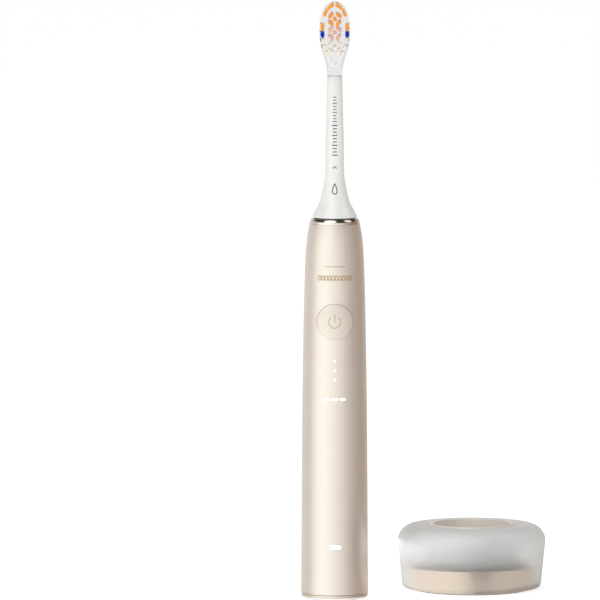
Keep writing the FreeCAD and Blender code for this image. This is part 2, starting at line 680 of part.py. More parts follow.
def stator_core():
    """Laminated E core with its three legs up."""
    half = STATOR_WIDTH / 2
    back = 3.5
    core = block(-half, half, -STATOR_DEPTH / 2, STATOR_DEPTH / 2, STATOR_Z, STATOR_Z + back)
    for x in (-half, -STATOR_LEG / 2, half - STATOR_LEG):
        leg = block(x, x + STATOR_LEG, -STATOR_DEPTH / 2, STATOR_DEPTH / 2, STATOR_Z, STATOR_TOP_Z)
        core = core.fuse(leg)
    return core.removeSplitter()


def stator_coil():
    """Winding round the middle leg."""
    low = STATOR_Z + 4.0
    inner_x, inner_y = STATOR_LEG / 2 + 0.2, STATOR_DEPTH / 2 + 0.2
    outer_x = STATOR_WIDTH / 2 - STATOR_LEG - 0.3
    outer_y = inner_y + 1.4
    outer = block(-outer_x, outer_x, -outer_y, outer_y, low, low + COIL_HEIGHT)
    outer = outer.makeFillet(1.2, [e for e in outer.Edges if abs(e.Vertexes[0].Z - e.Vertexes[1].Z) > 1])
    return outer.cut(block(-inner_x, inner_x, -inner_y, inner_y, low, low + COIL_HEIGHT))


def motor_pad():
    """Soft pad that keeps the motor's hum out of the frame."""
    half = STATOR_WIDTH / 2
    return block(-half, half, -STATOR_DEPTH / 2, STATOR_DEPTH / 2, STATOR_Z - MOTOR_PAD, STATOR_Z)


def tag_reader_coil():
    """Flat coil under the seal that reads the brush head's tag."""
    return tube(SEAL_RIM_INNER_R - 0.2, SHAFT_R + 2.6, HEAD_RING_TOP, HEAD_RING_TOP + 0.8)


# ---------------------------------------------------------------- brush head
def oval_wire(half_x, half_y, z):
    """A closed smooth oval at height z, always started at the same side."""
    count = 16
    turns = [2 * pi * i / count for i in range(count)]
    points = [V(half_x * cos(turn), half_y * sin(turn), z) for turn in turns]
    curve = Part.BSplineCurve()
    curve.interpolate(points, PeriodicFlag=True)
    return Part.Wire(curve.toShape())


def neck_line():
    """(height above the skirt's edge, outer radius) up the neck: a trumpet that runs into a slim stem."""
    shoulder_r = (SKIRT_R + NECK_R) / 2
    return [
        (0.0, SKIRT_R), (2.5, SKIRT_R - 1.15), (5.2, shoulder_r + 0.3), (10.0, NECK_R + 1.75),
        (16.0, NECK_R + 0.6), (27.0, NECK_R + 0.25), (0.72 * NECK_LENGTH, NECK_R - 0.1),
        (NECK_LENGTH, NECK_R - 0.45),
    ]


def neck_edge(inset, rows):
    """The smooth half-section edge through the first rows of the neck's line, moved in by inset."""
    curve = Part.BSplineCurve()
    curve.interpolate([V(r - inset, 0, SKIRT_Z + z) for z, r in neck_line()[:rows]])
    return curve.toShape()


def neck_cavity():
    """The hollow inside the neck: a wide mouth that narrows to the socket's bore."""
    bore = SOCKET_R + FIT
    mouth_r = SKIRT_R - NECK_WALL
    flare = neck_edge(NECK_WALL, 4)
    waist = (flare.Vertexes[-1].X, flare.Vertexes[-1].Z)
    throat = (bore, SKIRT_Z + 16.0)
    top = SOCKET_TOP_Z + FIT
    return turned([
        flare, line(waist, throat), line(throat, (bore, top)), line((bore, top), (0, top)),
        line((0, top), (0, SKIRT_Z)), line((0, SKIRT_Z), (mouth_r, SKIRT_Z)),
    ])


def neck_body():
    """White hollow neck with its flared skirt."""
    top = (NECK_R - 0.45, NECK_TOP_Z)
    outside = turned([
        neck_edge(0, len(neck_line())), line(top, (0, NECK_TOP_Z)),
        line((0, NECK_TOP_Z), (0, SKIRT_Z)), line((0, SKIRT_Z), (SKIRT_R, SKIRT_Z)),
    ])
    return outside.cut(neck_cavity()).cut(plate_tongue())


def shaft_socket():
    """Sleeve inside the neck that the shaft's D section pushes into, with a flange for the tag."""
    body = rod(SOCKET_R, FLANGE_Z, SOCKET_TOP_Z).fuse(rod(FLANGE_R, FLANGE_Z, FLANGE_Z + 0.4))
    bore = rod(SHAFT_R + FIT, FLANGE_Z - 1, SHAFT_TOP_Z + 0.5)
    flat = block(-SOCKET_R, SOCKET_R, -SOCKET_R, -SHAFT_FLAT - FIT, FLANGE_Z + 1.0, SHAFT_TOP_Z + 0.5)
    return body.removeSplitter().cut(bore.cut(flat))


def grip_clip():
    """Open spring ring round the socket that snaps the head onto the shaft."""
    high = CLIP_Z + CLIP_HEIGHT
    ring = tube(SOCKET_R + CLIP_THICKNESS, SOCKET_R, CLIP_Z, high)
    return ring.cut(block(-1.0, 1.0, 0, SOCKET_R + 2, CLIP_Z, high))


def sync_tag():
    """Thin tag ring under the socket's flange, read by the handle."""
    return tube(FLANGE_R - 0.25, SHAFT_R + 1.5, FLANGE_Z - TAG_THICKNESS, FLANGE_Z)


def plate_tongue():
    """Stem under the clear plate that is moulded into the neck."""
    wires = [
        oval_wire(NECK_R - 1.6, NECK_R - 1.9, NECK_TOP_Z - TONGUE_LENGTH),
        oval_wire(NECK_R - 1.3, NECK_R - 1.7, NECK_TOP_Z + 1.0),
    ]
    return Part.makeLoft(wires, True, False)


def plate_outline():
    """Closed outline of the plate in the XZ plane: straight foot, flared sides and a round nose."""
    foot = NECK_R - 0.45
    wide = PLATE_HALF_WIDTH
    rise = PLATE_LENGTH
    side = [
        (foot, 0.0), (foot + 0.2, 0.11 * rise), (0.5 * (foot + wide), 0.29 * rise),
        (wide - 0.35, 0.44 * rise), (wide, 0.62 * rise), (wide - 0.55, 0.79 * rise),
        (0.62 * wide, 0.93 * rise), (0.0, rise),
    ]
    points = [V(x, 0, NECK_TOP_Z + z) for x, z in side]
    points += [V(-x, 0, NECK_TOP_Z + z) for x, z in reversed(side[:-1])]
    curve = Part.BSplineCurve()
    curve.interpolate(points)
    return Part.Wire([curve.toShape(), Part.makeLine(points[-1], points[0])])


def tuft_layout():
    """{node: [(x, z, length, width, turn, extra height)]}, the first four in field units."""
    amber, blue, pearl = [], [], []
    for side in (-1, 1):
        amber.append((side * 0.27, 1.69, 0.57, 0.25, -side * 37, 0))
        amber.append((side * 0.63, 1.25, 0.52, 0.245, -side * 64, 0))
        amber.append((side * 0.83, 0.3, 0.47, 0.26, 90, 0))
        blue.append((side * 0.83, -0.18, 0.42, 0.26, 90, 0))
        pearl.append((side * 0.79, -0.62, 0.38, 0.235, side * 82, 0))
        pearl.append((side * 0.7, -1.08, 0.38, 0.225, side * 70, 0))
        pearl.append((side * 0.49, -1.5, 0.38, 0.22, side * 52, 0))
    layout = {"tufts_outer_amber": amber, "tufts_blue": blue, "tufts_outer_pearl": pearl}
    crosses = {"tufts_cross_amber": 0.82, "tufts_cross_pink": -0.13, "tufts_cross_pearl": -1.08}
    for node, middle in crosses.items():
        layout[node] = [(0.0, middle, 0.29, 0.24, 0, CROSS_EXTRA)]
        for way in (45, 135, 225, 315):
            x, z = CROSS_REACH * cos(radians(way)), CROSS_REACH * sin(radians(way))
            layout[node].append((x, middle + z, 0.46, 0.22, way + 90 + CROSS_TWIST, CROSS_EXTRA))
    return layout


def tuft(place):
    """One closed bundle of bristles, from its hole in the plate to its tips."""
    x, z, length, width, turn, extra = place
    tip = PLATE_FRONT - TUFT_HEIGHT - extra
    across, up = x * FIELD_UNIT, FIELD_Z + z * FIELD_UNIT
    return stadium(length * FIELD_UNIT, width * FIELD_UNIT, across, up, turn, tip, PLATE_FRONT + TUFT_ROOT)


def tufts(node):
    """All the tufts of one colour group."""
    return group([tuft(place) for place in tuft_layout()[node]])


def head_plate():
    """Clear plate with rounded edges and a hole for each tuft."""
    slab = Part.Face(plate_outline()).extrude(V(0, PLATE_THICKNESS, 0))
    slab.translate(V(0, PLATE_FRONT, 0))
    foot_z = NECK_TOP_Z + 0.01
    rims = [e for e in slab.Edges if e.BoundBox.YLength < 0.01 and e.BoundBox.ZMax > foot_z]
    slab = slab.makeFillet(PLATE_EDGE, rims)
    plate = slab.fuse(plate_tongue()).removeSplitter()
    for places in tuft_layout().values():
        for place in places:
            plate = plate.cut(tuft(place))
    return plate


# ---------------------------------------------------------------- charger
def charger_body():
    """Frosted bell of the charger, with the well through its middle and a pocket for the base."""
    top = CHARGER_HEIGHT
    shoulder_z = top - SHOULDER_DEPTH
    brow_r = CHARGER_R - SHOULDER_WIDTH
    inner_width, inner_depth = SHOULDER_WIDTH - CHARGER_WALL, SHOULDER_DEPTH - CHARGER_WALL
    shoulder_mid = (brow_r + SHOULDER_WIDTH * HALF_TURN, shoulder_z + SHOULDER_DEPTH * HALF_TURN)
    inner_mid = (brow_r + inner_width * HALF_TURN, shoulder_z + inner_depth * HALF_TURN)
    edge_r = CHARGER_FOOT_R - CHARGER_EDGE
    edge_z = PAD_FOOT + CHARGER_EDGE
    edge_mid = (edge_r + CHARGER_EDGE * HALF_TURN, edge_z - CHARGER_EDGE * HALF_TURN)
    pocket_r = CUP_R + FIT
    bore_r = LINER_R + FIT
    lip_r = LIP_R + FIT
    lip_z = top - LINER_LIP_HEIGHT / 2
    edges = [
        line((pocket_r, PAD_FOOT), (edge_r, PAD_FOOT)),
        arc((edge_r, PAD_FOOT), edge_mid, (CHARGER_FOOT_R, edge_z)),
        line((CHARGER_FOOT_R, edge_z), (CHARGER_R, shoulder_z)),
        arc((CHARGER_R, shoulder_z), shoulder_mid, (brow_r, top)),
        line((brow_r, top), (lip_r, top)),
        line((lip_r, top), (lip_r, lip_z)),
        line((lip_r, lip_z), (bore_r, lip_z)),
        line((bore_r, lip_z), (bore_r, DECK_Z + FIT)),
        line((bore_r, DECK_Z + FIT), (bore_r + CHARGER_WALL, DECK_Z + FIT)),
        line((bore_r + CHARGER_WALL, DECK_Z + FIT), (bore_r + CHARGER_WALL, top - CHARGER_WALL)),
        line((bore_r + CHARGER_WALL, top - CHARGER_WALL), (brow_r, top - CHARGER_WALL)),
        arc((brow_r, top - CHARGER_WALL), inner_mid, (CHARGER_R - CHARGER_WALL, shoulder_z)),
        line((CHARGER_R - CHARGER_WALL, shoulder_z), (pocket_r, DECK_Z + FIT)),
        line((pocket_r, DECK_Z + FIT), (pocket_r, PAD_FOOT)),
    ]
    bell = turned(edges)
    bell = bell.cut(front_rod(GLAND_R + FIT, GLAND_Z, 0, CHARGER_R + 1))
    return to_charger(bell)


def screw_places():
    """Three places round the charger's axis, clear of the cable gland."""
    return [(SCREW_CIRCLE_R * cos(radians(a)), SCREW_CIRCLE_R * sin(radians(a))) for a in (30, 150, 270)]


def base_cup():
    """Metallic cup behind the frosting that holds the electronics."""
    cup = tube(CUP_R, CUP_R - CUP_WALL, PAD_FOOT, DECK_Z).fuse(rod(CUP_R, DECK_Z - CUP_WALL, DECK_Z))
    low = PAD_FOOT + BASE_PLATE
    for x, y in screw_places():
        cup = cup.fuse(rod(BOSS_R, low, DECK_Z - CUP_WALL / 2, x, y))
    cup = cup.removeSplitter()
    for x, y in screw_places():
        cup = cup.cut(rod(CHARGER_SCREW_R, low - 1, DECK_Z - CUP_WALL - 1, x, y))
    cup = cup.cut(front_rod(GLAND_R, GLAND_Z, SCREW_CIRCLE_R, CHARGER_R))
    return to_charger(cup)


def well_liner():
    """Polished metal sleeve of the well, with a rounded lip on the body's top."""
    lip_z = CHARGER_HEIGHT - LINER_LIP_HEIGHT / 2
    top = lip_z + LINER_LIP_HEIGHT
    crown = 0.3
    edges = [
        line((WELL_R, WELL_FLOOR_Z), (LINER_R, WELL_FLOOR_Z)),
        line((LINER_R, WELL_FLOOR_Z), (LINER_R, lip_z)),
        line((LINER_R, lip_z), (LIP_R, lip_z)),
        line((LIP_R, lip_z), (LIP_R, top - crown)),
        arc((LIP_R, top - crown), (LIP_R - 0.3 * crown, top - 0.3 * crown), (LIP_R - crown, top)),
        line((LIP_R - crown, top), (WELL_R + crown, top)),
        arc((WELL_R + crown, top), (WELL_R + 0.3 * crown, top - 0.3 * crown), (WELL_R, top - crown)),
        line((WELL_R, top - crown), (WELL_R, WELL_FLOOR_Z)),
    ]
    return to_charger(turned(edges))


def charging_pad():
    """Matt floor of the well that the liner and the handle stand on."""
    return to_charger(rod(LINER_R, DECK_Z, WELL_FLOOR_Z))


def primary_coil():
    """Charging coil under the deck."""
    high = DECK_Z - CUP_WALL - FIT
    return to_charger(tube(COIL_ROOM_R - 4.7, 5.0, high - 2.4, high))


def coil_ferrite():
    """Ferrite plate under the charging coil."""
    high = DECK_Z - CUP_WALL - FIT - 2.5
    return to_charger(rod(COIL_ROOM_R - 3.7, high - 1.2, high))


def charger_board():
    """Small round circuit board on the base plate."""
    low = PAD_FOOT + BASE_PLATE
    return to_charger(rod(COIL_ROOM_R - 2.7, low, low + 1.0))


def charger_parts():
    """Components on the charger's board, as tall as the room under the ferrite."""
    low = PAD_FOOT + BASE_PLATE + 1.0
    high = DECK_Z - CUP_WALL - FIT - 2.5 - 1.2
    reach = COIL_ROOM_R - 9.0
    chips = [block(-3.0, 3.0, -2.5, 2.5, low, low + 1.2)]
    for turn in (20, 140, 260):
        chips.append(rod(2.2, low, high, reach * cos(radians(turn)), reach * sin(radians(turn))))
    return to_charger(group(chips))


def base_plate():
    """Cover under the charger, with its screw holes and the groove for the foot ring."""
    plate = rod(CUP_R - CUP_WALL - FIT, PAD_FOOT, PAD_FOOT + BASE_PLATE)
    for x, y in screw_places():
        plate = plate.cut(rod(SCREW_HEAD_R + FIT, PAD_FOOT, PAD_FOOT + 0.9, x, y))
        plate = plate.cut(rod(CHARGER_SCREW_R + FIT, PAD_FOOT, PAD_FOOT + BASE_PLATE, x, y))
    return to_charger(plate)


def charger_screws():
    """Three countersunk screws under the foot ring."""
    screws = []
    for x, y in screw_places():
        head = rod(SCREW_HEAD_R, PAD_FOOT + 0.05, PAD_FOOT + 0.9, x, y)
        head = head.cut(block(x - 2, x + 2, y - 0.25, y + 0.25, PAD_FOOT, PAD_FOOT + 0.45))
        shank = rod(CHARGER_SCREW_R, PAD_FOOT + 0.9, DECK_Z - CUP_WALL - 1.5, x, y)
        screws.append(head.fuse(shank).removeSplitter())
    return to_charger(group(screws))


def foot_ring():
    """Rubber ring that the charger stands on."""
    return to_charger(tube(SCREW_CIRCLE_R + 2.6, SCREW_CIRCLE_R - 2.6, 0, PAD_FOOT))


def cable_gland():
    """Tapered inlet for the supply lead, at the back of the base."""
    inside = SCREW_CIRCLE_R + 0.6
    outside = CHARGER_FOOT_R + GLAND_OUT
    gland = front_rod(GLAND_R, GLAND_Z, inside, CHARGER_FOOT_R - 0.4)
    root = V(0, CHARGER_FOOT_R - 0.4, GLAND_Z)
    nose = Part.makeCone(GLAND_R, GLAND_BORE_R + 0.45, GLAND_OUT + 0.4, root, V(0, 1, 0))
    gland = gland.fuse(nose).removeSplitter()
    return to_charger(gland.cut(front_rod(GLAND_BORE_R, GLAND_Z, inside, outside + 1)))


PIECES = {
    "handle_shell": handle_shell,
    "top_trim_ring": top_trim_ring,
    "shaft_seal": shaft_seal,
    "mode_lights": mode_lights,
    "status_lights": status_lights,
    "battery_light": battery_light,
    "end_ring": end_ring,
    "light_ring": light_ring,
    "end_cap": end_cap,
    "end_cap_seal": end_cap_seal,
    "power_button": power_button,
    "power_icon": power_icon,
    "button_gasket": button_gasket,
    "switch_body": switch_body,
    "switch_plunger": switch_plunger,
    "inner_frame": inner_frame,
    "upper_bush": upper_bush,
    "lower_bush": lower_bush,
    "main_board": main_board,
    "board_parts": board_parts,
    "frame_screws": frame_screws,
    "battery_cell": battery_cell,
    "battery_contacts": battery_contacts,
    "receiver_coil": receiver_coil,
    "receiver_ferrite": receiver_ferrite,
    "drive_shaft": drive_shaft,
    "spring_hub": spring_hub,
    "drive_spring": drive_spring,
    "rotor_yoke": rotor_yoke,
    "rotor_magnets": rotor_magnets,
    "stator_core": stator_core,
    "stator_coil": stator_coil,
    "motor_pad": motor_pad,
    "tag_reader_coil": tag_reader_coil,
    "neck_body": neck_body,
    "shaft_socket": shaft_socket,
    "grip_clip": grip_clip,
    "sync_tag": sync_tag,
    "head_plate": head_plate,
    "charger_body": charger_body,
    "base_cup": base_cup,
    "well_liner": well_liner,
    "charging_pad": charging_pad,
    "primary_coil": primary_coil,
    "coil_ferrite": coil_ferrite,
    "charger_board": charger_board,
    "charger_parts": charger_parts,
    "base_plate": base_plate,
    "charger_screws": charger_screws,
    "foot_ring": foot_ring,
    "cable_gland": cable_gland,
}


def main():
    """Writes one STEP file for each piece."""
    os.makedirs("parts", exist_ok=True)
    for node, build in PIECES.items():
        build().exportStep(f"parts/{node}.step")
    for node in tuft_layout():
        tufts(node).exportStep(f"parts/{node}.step")


main()
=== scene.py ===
"""Sonic toothbrush with its brush head, standing beside its induction charger.

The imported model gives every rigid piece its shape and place. This script dresses those pieces,
lays out the bristles filament by filament, shapes the neck, prints the small marks and sets up a
plain studio. All lengths are in metres.
"""

import logging
import math
import random
from dataclasses import dataclass, field
from enum import Enum
from typing import Callable, ClassVar, Sequence

import bmesh
import bpy
import numpy
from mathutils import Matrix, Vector


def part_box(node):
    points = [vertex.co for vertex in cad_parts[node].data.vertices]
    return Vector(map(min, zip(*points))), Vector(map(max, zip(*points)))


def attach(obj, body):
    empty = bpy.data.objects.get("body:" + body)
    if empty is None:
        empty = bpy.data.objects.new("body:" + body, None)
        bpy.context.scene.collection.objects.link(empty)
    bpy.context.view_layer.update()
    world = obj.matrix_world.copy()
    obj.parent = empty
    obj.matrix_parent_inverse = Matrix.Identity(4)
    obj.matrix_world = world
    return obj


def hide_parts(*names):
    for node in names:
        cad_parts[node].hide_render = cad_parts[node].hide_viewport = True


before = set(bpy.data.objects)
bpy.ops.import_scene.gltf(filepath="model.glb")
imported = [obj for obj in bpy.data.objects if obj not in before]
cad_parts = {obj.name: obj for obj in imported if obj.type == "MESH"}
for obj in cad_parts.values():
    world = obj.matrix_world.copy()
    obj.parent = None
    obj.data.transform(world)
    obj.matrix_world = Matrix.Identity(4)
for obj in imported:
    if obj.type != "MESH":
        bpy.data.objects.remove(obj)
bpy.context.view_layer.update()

MM = 0.001
LOG = logging.getLogger("toothbrush")

Rgb = tuple[float, float, float]
Pair = tuple[float, float]
Face = tuple[int, ...]
Socket = bpy.types.NodeSocket
Surface = Callable[[float, float, float], Vector]
WHITE: Rgb = (1.0, 1.0, 1.0)


class Body(str, Enum):
    """The rigid bodies that new pieces ride on."""

    HANDLE = "handle"
    BRUSH_HEAD = "brush_head"


# ---------------------------------------- node trees
class Tree:
    """A node tree, with short calls to grow it."""

    def __init__(self, tree: bpy.types.NodeTree) -> None:
        """Takes over a tree."""
        self.tree = tree

    def node(self, kind: str, **values: object) -> bpy.types.Node:
        """Adds a node and sets its properties.

        Args:
            kind: The node's type name.
            **values: Properties to set on it.

        Returns:
            The new node.
        """
        made = self.tree.nodes.new(kind)
        for key, value in values.items():
            setattr(made, key, value)
        return made

    def feed(self, value: Socket | float | Rgb, end: Socket) -> None:
        """Links a socket, or sets a number or a colour.

        Args:
            value: The socket, number or colour.
            end: The socket that takes it.
        """
        if isinstance(value, Socket):
            self.tree.links.new(value, end)
        elif isinstance(value, tuple):
            end.default_value = (*value, 1.0)
        else:
            end.default_value = value

    def spread(self, value: Socket, ends: Pair, span: Pair = (0.3, 0.7), kind: str = "LINEAR") -> Socket:
        """Maps one range of values onto another.

        Args:
            value: The value, such as a noise.
            ends: The values at the ends of the span.
            span: The part of the value's range that is used.
            kind: How the values run between the ends.

        Returns:
            The mapped value.
        """
        made = self.node("ShaderNodeMapRange", interpolation_type=kind)
        for key, number in zip(("From Min", "From Max", "To Min", "To Max"), (*span, *ends)):
            made.inputs[key].default_value = number
        self.feed(value, made.inputs["Value"])
        return made.outputs["Result"]

    def ramp(self, value: Socket, stops: Sequence[tuple[float, Rgb]]) -> Socket:
        """Turns a value into a colour.

        Args:
            value: The value, 0 to 1.
            stops: Places along the ramp and their colours.

        Returns:
            The colour.
        """
        made = self.node("ShaderNodeValToRGB")
        line = made.color_ramp.elements
        while len(line) < len(stops):
            line.new(0.5)
        for stop, (place, colour) in zip(line, stops):
            stop.position = place
            stop.color = (*colour, 1.0)
        self.feed(value, made.inputs["Fac"])
        return made.outputs["Color"]

    def blend(
        self, share: Socket | float, first: Socket | Rgb, second: Socket | Rgb, kind: str = "MIX"
    ) -> Socket:
        """Mixes two colours.

        Args:
            share: Share of the second.
            first: The first colour.
            second: The second colour.
            kind: How they are mixed.

        Returns:
            The mixed colour.
        """
        made = self.node("ShaderNodeMix", data_type="RGBA", blend_type=kind)
        for value, slot in ((share, 0), (first, 6), (second, 7)):
            self.feed(value, made.inputs[slot])
        return made.outputs[2]


class Graph(Tree):
    """The node tree of one finish."""

    def __init__(self, name: str) -> None:
        """Starts a material with a Principled shader.

        Args:
            name: The material's name.
        """
        self.material = bpy.data.materials.new(name)
        self.material.use_nodes = True
        super().__init__(self.material.node_tree)
        self.shader = self.tree.nodes["Principled BSDF"]
        self.here = self.place(WHITE)

    def place(self, stretch: Sequence[float]) -> Socket:
        """The position on the piece, stretched along each axis.

        Args:
            stretch: The stretch along each axis.

        Returns:
            The position.
        """
        mapping = self.node("ShaderNodeMapping")
        mapping.inputs["Scale"].default_value = tuple(stretch)
        self.feed(self.node("ShaderNodeTexCoord").outputs["Object"], mapping.inputs["Vector"])
        return mapping.outputs["Vector"]

    def texture(self, kind: str, place: Socket | None = None, **numbers: float) -> bpy.types.Node:
        """A texture laid on the piece.

        Args:
            kind: The texture node's type name.
            place: Where on the piece, if not simply at its own position.
            **numbers: Its inputs, with underscores for spaces, such as Scale in features per metre.

        Returns:
            The texture's node.
        """
        made = self.node(kind)
        for key, number in numbers.items():
            made.inputs[key.replace("_", " ")].default_value = number
        self.feed(place or self.here, made.inputs["Vector"])
        return made

    def noise(self, per_metre: float, detail: float = 3.0, place: Socket | None = None) -> Socket:
        """A soft noise."""
        return self.texture("ShaderNodeTexNoise", place, Scale=per_metre, Detail=detail).outputs["Fac"]

    def tint(self, value: Socket, low: Rgb, high: Rgb, span: Pair = (0.35, 0.65)) -> Socket:
        """Colours a noise between two tints, over the part of it that is used."""
        return self.ramp(value, list(zip(span, (low, high))))

    def constant(self, **values: object) -> None:
        """Sets the shader's own sockets, such as Coat_Weight=0.5, with underscores for spaces."""
        for key, value in values.items():
            self.shader.inputs[key.replace("_", " ")].default_value = value

    def wire(self, **sockets: Socket) -> None:
        """Links outputs to the shader, such as Roughness=value, with underscores for spaces."""
        for key, value in sockets.items():
            self.feed(value, self.shader.inputs[key.replace("_", " ")])

    def relief(self, height: Socket, depth: float) -> None:
        """Gives the surface a fine relief.

        Args:
            height: The relief, 0 to 1.
            depth: Its depth, in metres.
        """
        bump = self.node("ShaderNodeBump")
        bump.inputs["Distance"].default_value = depth
        self.feed(height, bump.inputs["Height"])
        self.wire(Normal=bump.outputs["Normal"])


def shade(colour: Rgb, by: float) -> Rgb:
    """Makes a colour lighter, or darker, by a share."""
    return tuple(min(1.0, part * (1.0 + by)) for part in colour)


# ---------------------------------------- finishes
@dataclass(frozen=True)
class Finish:
    """A moulded surface: a colour that varies a little, fine grain and uneven gloss.

    Attributes:
        name: The material's name.
        colour: Its main colour, linear.
        roughness: The least and most rough that it gets.
        vary: How far the colour strays, as a share.
        grain: Features of the grain per metre.
        depth: Depth of the grain, in metres.
        CLOUD: Features of the grain to one cloud of colour.
        OCTAVES: Octaves of finer grain.
    """

    name: str
    colour: Rgb
    roughness: Pair = (0.42, 0.55)
    vary: float = 0.05
    grain: float = 2600.0
    depth: float = 0.000006
    CLOUD: ClassVar[float] = 12.0
    OCTAVES: ClassVar[float] = 4.0

    def make(self) -> bpy.types.Material:
        """Builds the material.

        Returns:
            The new material.
        """
        graph = Graph(self.name)
        cloud = graph.noise(self.grain / self.CLOUD)
        fine = graph.noise(self.grain, self.OCTAVES)
        low, high = shade(self.colour, -self.vary), shade(self.colour, self.vary)
        graph.wire(Base_Color=graph.tint(cloud, low, high), Roughness=graph.spread(fine, self.roughness))
        graph.relief(fine, self.depth)
        self.dress(graph)
        return graph.material

    def dress(self, graph: Graph) -> None:
        """Adds what this kind of finish has beyond the grain."""


@dataclass(frozen=True)
class PearlLacquer(Finish):
    """Pearl lacquer: fine metallic flakes under a clear coat.

    Attributes:
        metallic: How metallic it is.
        coat: Weight of the clear coat.
        FLAKES: Flakes per metre.
        CLOUDS: Clouds of colour per metre.
        GLINT: Share of the flakes in the colour.
    """

    metallic: float = 0.72
    coat: float = 0.35
    FLAKES: ClassVar[float] = 9000.0
    CLOUDS: ClassVar[float] = 60.0
    GLINT: ClassVar[float] = 0.45

    def dress(self, graph: Graph) -> None:
        """Adds the flakes and the clear coat.

        Args:
            graph: The node tree being built.
        """
        graph.constant(Metallic=self.metallic, Coat_Weight=self.coat, Coat_Roughness=0.12)
        flake = graph.texture("ShaderNodeTexVoronoi", Scale=self.FLAKES).outputs["Distance"]
        cloud = graph.noise(self.CLOUDS, 2.0)
        base = graph.tint(cloud, shade(self.colour, -0.02), shade(self.colour, 0.02))
        glint = graph.tint(flake, shade(self.colour, 0.06), shade(self.colour, -0.05), (0.1, 0.8))
        graph.wire(Base_Color=graph.blend(self.GLINT, base, glint))


@dataclass(frozen=True)
class GlossPlastic(Finish):
    """Polished moulded plastic with a little light scattered inside it.

    Attributes:
        scatter: Weight of the scattered light.
        coat: Weight of the polish.
    """

    scatter: float = 0.12
    coat: float = 0.4

    def dress(self, graph: Graph) -> None:
        """Adds the polish and the scattering."""
        graph.constant(Subsurface_Weight=self.scatter, Subsurface_Scale=0.8 * MM, Subsurface_Radius=WHITE)
        graph.constant(Coat_Weight=self.coat, Coat_Roughness=0.08, IOR=1.5)


@dataclass(frozen=True)
class ClearPlastic(Finish):
    """Clear or frosted plastic that light passes through.

    Attributes:
        ior: Its refractive index.
    """

    ior: float = 1.49

    def dress(self, graph: Graph) -> None:
        """Lets light through."""
        graph.constant(Transmission_Weight=1.0, IOR=self.ior)


@dataclass(frozen=True)
class FrostedBell(ClearPlastic):
    """Frosted plastic that is clearer round its foot and milky above.

    Attributes:
        heights: Where it starts to turn milky, and where it is most so.
        shares: Share of the light that passes at the two heights.
    """

    heights: Pair = (10.0 * MM, 23.0 * MM)
    shares: Pair = (0.92, 0.3)

    def dress(self, graph: Graph) -> None:
        """Lets light through by height.

        Args:
            graph: The node tree being built.
        """
        graph.constant(IOR=self.ior)
        parts = graph.node("ShaderNodeSeparateXYZ")
        graph.feed(graph.here, parts.inputs[0])
        graph.wire(Transmission_Weight=graph.spread(parts.outputs["Z"], self.shares, self.heights))


@dataclass(frozen=True)
class Metal(Finish):
    """Plated, turned or brushed metal.

    Attributes:
        lines: Stretch of the fine lines along each axis.
        COARSE: Features of the grain to one line.
        OCTAVES_OF_LINES: Octaves of finer lines.
    """

    lines: Sequence[float] = (1.0, 1.0, 14.0)
    COARSE: ClassVar[float] = 3.0
    OCTAVES_OF_LINES: ClassVar[float] = 5.0

    def dress(self, graph: Graph) -> None:
        """Adds the metal and its tool lines.

        Args:
            graph: The node tree being built.
        """
        graph.constant(Metallic=1.0)
        stroke = graph.noise(self.grain / self.COARSE, self.OCTAVES_OF_LINES, graph.place(self.lines))
        graph.wire(Roughness=graph.spread(stroke, self.roughness))
        graph.relief(stroke, self.depth)


@dataclass(frozen=True)
class Winding(Finish):
    """Enamelled copper wire wound in tight turns.

    Attributes:
        turns: Scale of the turns.
        rings: Whether the turns lie in a flat spiral, not along the axis.
        WIRE: Depth of the relief between turns.
    """

    turns: float = 2200.0
    rings: bool = True
    WIRE: ClassVar[float] = 0.08 * MM

    def dress(self, graph: Graph) -> None:
        """Adds the wire's turns, with painted shade that darkens the grooves between them.

        Args:
            graph: The node tree being built.
        """
        wave = graph.texture("ShaderNodeTexWave", Scale=self.turns, Distortion=0.3)
        wave.wave_type = "RINGS" if self.rings else "BANDS"
        wave.rings_direction = wave.bands_direction = "Z"
        graph.constant(Metallic=0.8, Coat_Weight=0.6, Coat_Roughness=0.2)
        height = wave.outputs["Fac"]
        # Painted shade: the colour darkens towards the grooves between the turns, where shade falls.
        graph.wire(Base_Color=graph.tint(height, shade(self.colour, -0.6), self.colour, (0.1, 0.7)))
        graph.relief(height, self.WIRE)


@dataclass(frozen=True)
class CircuitBoard(Finish):
    """Solder mask over copper tracks.

    Attributes:
        track: Colour of the tracks under the mask.
        TRACKS: Scale of the tracks.
        COPPER: Thickness of the tracks.
    """

    track: Rgb = (0.05, 0.32, 0.16)
    TRACKS: ClassVar[float] = 420.0
    COPPER: ClassVar[float] = 0.03 * MM

    def dress(self, graph: Graph) -> None:
        """Adds the tracks.

        Args:
            graph: The node tree being built.
        """
        brick = graph.texture("ShaderNodeTexBrick", Scale=self.TRACKS, Mortar_Size=0.08)
        graph.feed(self.colour, brick.inputs["Color1"])
        graph.feed(shade(self.colour, 0.25), brick.inputs["Color2"])
        graph.feed(self.track, brick.inputs["Mortar"])
        graph.constant(Coat_Weight=0.5, Coat_Roughness=0.15)
        graph.wire(Base_Color=brick.outputs["Color"])
        graph.relief(brick.outputs["Fac"], self.COPPER)


